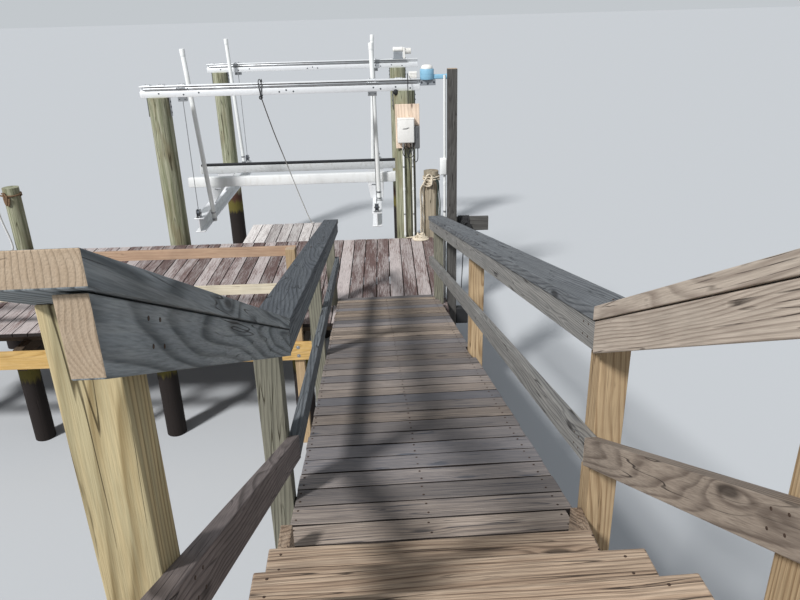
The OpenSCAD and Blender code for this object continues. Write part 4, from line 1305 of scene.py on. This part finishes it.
class JETTY_OT_ropes(bpy.types.Operator):
    """Tie the mooring ropes, the black rope on the arm and the line down to the finger deck"""

    bl_idname = "jetty.ropes"
    bl_label = "Ropes"

    def execute(self, context):
        rng = random.Random(71)
        self.cream_rope(rng, context.scene.jetty_sizes.rope_size / 2)
        self.coir_rope(rng)
        self.arm_rope()
        self.dock_line(-1.765)
        return {"FINISHED"}

    def cream_rope(self, rng, size):
        """Turns round the pile's head, a knot at its front left, strands down its side, a heap on the deck,
        and thin dark green lines on the pile's right."""
        x, y = ROPE_PILE
        top = TOP + 0.860
        made = [sweep(wound((x, y), 0.095, top - 0.120, 2.2, 0.028, size, rng), size, "turns", 10)]
        for i in range(3):
            lean = i * 0.9
            knot = [(x - 0.035 + (0.042 + 0.006 * i) * math.cos(a * math.pi / 5 + lean) - 0.01 * i,
                     y - 0.108 - 0.012 * i + 0.018 * math.sin(a * 1.3 + i),
                     top - 0.075 - 0.030 * i + (0.050 - 0.004 * i) * math.sin(a * math.pi / 5 + lean))
                    for a in range(11)]
            made.append(sweep(knot, size * 1.15, "knot", 10))
        for i in range(5):
            sway = rng.uniform(-0.008, 0.008)
            strand = [(x - 0.060, y - 0.100, top - 0.09)]
            for k in range(1, 10):
                strand.append((x - 0.098 - 0.010 * i + sway + rng.uniform(-0.006, 0.006),
                               y - 0.050 - 0.014 * i, top - 0.09 - (top - 0.11 - TOP) * k / 9))
            strand.append((x - 0.14 - 0.05 * i, y - 0.14, TOP + 0.012))
            made.append(sweep(strand, size * 0.9, "strand"))
        for i in range(9):
            wide = 0.105 - 0.009 * i
            heap = []
            for turn in (a * math.pi / 8 + i * 0.8 for a in range(17)):
                heap.append((x - 0.155 + rng.uniform(-0.01, 0.01) + wide * math.cos(turn),
                             y - 0.180 + 0.75 * wide * math.sin(turn),
                             TOP + size + 0.010 * i * (0.6 + 0.4 * math.sin(turn * 2 + i))))
            made.append(sweep(heap, size, "heap"))
        finish(join("cream_rope", made), "rope", "rope", "mooring_rope")

        for i in range(4):
            line = [(x + 0.02 + 0.02 * i, y - 0.098, top - 0.04 - 0.02 * i)]
            for k in range(1, 9):
                line.append((x + 0.070 + 0.012 * i + 0.010 * math.sin(k * 1.1 + i), y - 0.088 + 0.012 * i,
                             top - 0.05 - (top - 0.08 - TOP) * k / 8))
            thin = finish(sweep(line, GREEN_LINE_R, f"green_line_{i + 1}", 6), "green_rope", "rope")

    def coir_rope(self, rng):
        """Brown rope round the mooring pile with a knot, and a pale line that hangs from it."""
        x, y = MOORING_PILE
        top = TOP + 0.810
        head = (x, y, top)
        thick = 0.010
        coil = [sweep(wound((x, y), 0.100, top - 0.110, 1.6, 0.024, thick, rng), thick, "coil")]
        for i in range(5):
            tuft = [(-0.040 + 0.011 * i + 0.016 * math.cos(a * 1.05), -0.112 - 0.007 * (i % 3),
                     -0.120 - 0.012 * i + (0.085 - 0.008 * i) * math.sin(a * 1.05 + 0.5 * i))
                    for a in range(7)]
            coil.append(sweep(placed(head, tuft), 0.009, "tuft"))
        tail = [(-0.04, -0.112, -0.10), (-0.10, -0.10, -0.07), (-0.17, -0.08, -0.09), (-0.20, -0.07, -0.16),
                (-0.19, -0.07, -0.24)]
        coil.append(sweep(placed(head, tail), thick, "tail"))
        finish(join("coir_rope", coil), "brown_rope", "rope")
        on_deck = TOP + 0.0145 - top
        drop = [(-0.19, -0.07, -0.20), (-0.185, -0.075, -0.34), (-0.150, -0.085, -0.50),
                (-0.105, -0.10, -0.66),
                (-0.085, -0.12, -0.78), (-0.10, -0.15, on_deck), (-0.16, -0.22, on_deck)]
        stop = finish(end_knot((x - 0.17, y - 0.235, TOP + 0.014), PALE_LINE_R, "pale_knot"), "white_rope",
                      "rope")
        pale = finish(sweep(placed(head, drop), PALE_LINE_R, "pale_line"), "white_rope", "rope")

    def arm_rope(self):
        """Black rope: tight turns round the arm, loose loops over them, and a thin end to the black box."""
        bottom, upper = TOP + 0.725, TOP + 0.865
        near, far = -2.326, -2.288
        gap = 0.009
        dark = []
        for x in (0.452 + 0.016 * i for i in range(7)):
            turns = [(x, near - gap, bottom - gap), (x + 0.003, near - gap, upper + gap),
                     (x + 0.006, far + gap, upper + gap), (x + 0.010, far + gap, bottom - gap)]
            dark.append(sweep(turns, 0.008, "turn", closed=True))
        for i in range(3):
            loop = [(0.50 + 0.015 * i + (0.035 + 0.006 * i) * math.cos(a * 0.7), near - 0.024 - 0.006 * i,
                     bottom + 0.045 - 0.02 * i + (0.075 + 0.012 * i) * math.sin(a * 0.7)) for a in range(10)]
            dark.append(sweep(loop, 0.008, "loop"))
        end = [(0.505, near - 0.02, bottom - 0.01), (0.500, near - 0.025, bottom - 0.15),
               (0.490, near - 0.03, bottom - 0.40), (0.478, near - 0.04, bottom - 0.65),
               (0.485, -2.37, TOP - 0.075)]
        dark.append(sweep(end, 0.005, "end", 6))
        finish(join("arm_lashing", dark), "black_rope", "black_rope", "arm_rope")

    def dock_line(self, x):
        """Line from the near beam to the finger deck. Two thin turns start and end in the knot, cross on the
        beam's face and stand a little above its top; a slack run hangs below."""
        face = BEAM_HALF + 0.0095
        loops = []
        for side in (1, -1):
            turn = [(0, -0.068, -0.028), (0.006 * side, -face - 0.002, 0.020), (0.016 * side, -face, 0.090),
                    (0.018 * side, -face, 0.150), (0.016 * side, -0.030, 0.178), (0.010 * side, 0.030, 0.178),
                    (0.008 * side, face, 0.150), (0.006 * side, face, 0.040), (0.006 * side, face, -0.014),
                    (0.006 * side, 0, -0.020), (0.006 * side, -0.050, -0.020), (0, -0.068, -0.030)]
            loops.append(sweep(placed((x, 0, BEAM_Z), turn), 0.005, "loop"))
        for i in range(3):
            knot = [(0.018 * math.cos(a * 0.9 + i), -0.064 - 0.009 * i,
                     -0.030 + 0.022 * math.sin(a * 0.9 + i))
                    for a in range(8)]
            loops.append(sweep(placed((x, 0, BEAM_Z), knot), DOCK_LINE_R, "knot"))
        finish(join("line_knot", loops), "black_rope", "rope", "dock_line")
        run = [(x, -0.064, BEAM_Z - 0.02), (-1.682, 0.055, 2.72), (-1.590, 0.191, 2.35),
               (-1.530, 0.276, TOP + 0.800),
               (-1.460, 0.390, 1.80), (-1.384, 0.515, 1.49), (-1.336, 0.590, TOP + 0.008),
               (-1.32, 0.60, TOP + 0.008)]
        stop = finish(end_knot((-1.310, 0.606, TOP + 0.007), DOCK_LINE_R, "line_stop"), "white_rope", "rope")
        line = finish(sweep(run, DOCK_LINE_R, "line_run"), "line", "rope")


class JETTY_OT_stage(bpy.types.Operator):
    """Set up the camera, the floor and the studio light"""

    bl_idname = "jetty.stage"
    bl_label = "Studio"

    def execute(self, context):
        scene = context.scene
        # the photo's own camera, found from its vanishing points
        pitch, yaw, roll = math.radians(22.733), math.radians(0.85), math.radians(-1.589)
        ahead = Vector((math.sin(yaw) * math.cos(pitch), math.cos(yaw) * math.cos(pitch), -math.sin(pitch)))
        right = Vector((math.cos(yaw), -math.sin(yaw), 0.0))
        up = right.cross(ahead)
        side = math.cos(roll) * right + math.sin(roll) * up
        over = -math.sin(roll) * right + math.cos(roll) * up
        focal_px, wide_px = 700.0, 800.0
        lens = bpy.data.cameras.new("Camera")
        lens.sensor_width = 36.0
        lens.sensor_fit = "HORIZONTAL"
        lens.lens = lens.sensor_width * focal_px / wide_px
        lens.clip_end = 1000.0
        camera = bpy.data.objects.new("Camera", lens)
        scene.collection.objects.link(camera)
        turn = Matrix((side, over, -ahead)).transposed().to_4x4()
        camera.matrix_world = Matrix.Translation((-0.252, -9.041, 4.110)) @ turn
        scene.camera = camera

        clear()
        bpy.ops.mesh.primitive_plane_add(size=600, location=(0, 0, -0.001))
        floor = bpy.context.object
        floor.name = "studio_floor"
        floor.data.materials.append(FINISH["floor"])

        for name, turn, power, spread in (("Key light", (48.0, 0.0, -38.0), 3.9, 8.0),
                                          ("Fill light", (55.0, 0.0, 60.0), 0.05, 40.0)):
            lamp = bpy.data.lights.new(name, "SUN")
            lamp.energy = power
            lamp.angle = math.radians(spread)
            light = bpy.data.objects.new(name, lamp)
            light.rotation_euler = [math.radians(t) for t in turn]
            scene.collection.objects.link(light)

        scene.world, node = emptied(bpy.data.worlds.new("Studio"))
        # the backdrop behind the object is a plain pale grey; the light from around it is bluer
        path = node("LightPath", {})
        soft = node("Background", {"Color": tone("e9f0f8"), "Strength": 0.42})
        seen = node("Background", {"Color": tone("c3c8cc"), "Strength": 1.0})
        either = node("Math", {0: path.outputs["Is Camera Ray"], 1: path.outputs["Is Glossy Ray"]},
                     operation="MAXIMUM")
        any_ray = node("Math", {0: either, 1: path.outputs["Is Transmission Ray"]},
                      operation="MAXIMUM")
        mix = node("MixShader", {0: any_ray, 1: soft, 2: seen})
        node("OutputWorld", {"Surface": mix})
        scene.view_settings.view_transform = "Standard"
        return {"FINISHED"}


class JETTY_PT_panel(bpy.types.Panel):
    """The jetty's sizes, colours and pieces"""

    bl_label = "Jetty"
    bl_idname = "JETTY_PT_panel"
    bl_space_type = "VIEW_3D"
    bl_region_type = "UI"
    bl_category = "Jetty"

    def draw(self, context):
        scene = context.scene
        for group in (scene.jetty_sizes, scene.jetty_colours):
            box = self.layout.box()
            for key in group.bl_rna.properties.keys():
                if key not in ("rna_type", "name"):
                    box.prop(group, key)
        for step in STEPS:
            self.layout.operator(step.bl_idname)


STEPS = (JETTY_OT_finishes, JETTY_OT_stage, JETTY_OT_deck, JETTY_OT_ramp, JETTY_OT_timbers, JETTY_OT_fixings,
         JETTY_OT_lift, JETTY_OT_cradle, JETTY_OT_power, JETTY_OT_ropes)
CLASSES = (JettySizes, JettyColours) + STEPS + (JETTY_PT_panel,)


def register():
    for item in CLASSES:
        bpy.utils.register_class(item)
    bpy.types.Scene.jetty_sizes = bpy.props.PointerProperty(type=JettySizes)
    bpy.types.Scene.jetty_colours = bpy.props.PointerProperty(type=JettyColours)


def unregister():
    del bpy.types.Scene.jetty_colours
    del bpy.types.Scene.jetty_sizes
    for item in reversed(CLASSES):
        bpy.utils.unregister_class(item)


def main():
    register()
    bpy.ops.jetty.finishes()
    bpy.ops.jetty.stage()
    bpy.ops.jetty.deck()
    bpy.ops.jetty.ramp()
    bpy.ops.jetty.timbers()
    bpy.ops.jetty.fixings()
    bpy.ops.jetty.lift()
    bpy.ops.jetty.cradle()
    bpy.ops.jetty.power()
    bpy.ops.jetty.ropes()


if __name__ == "__main__":
    main()
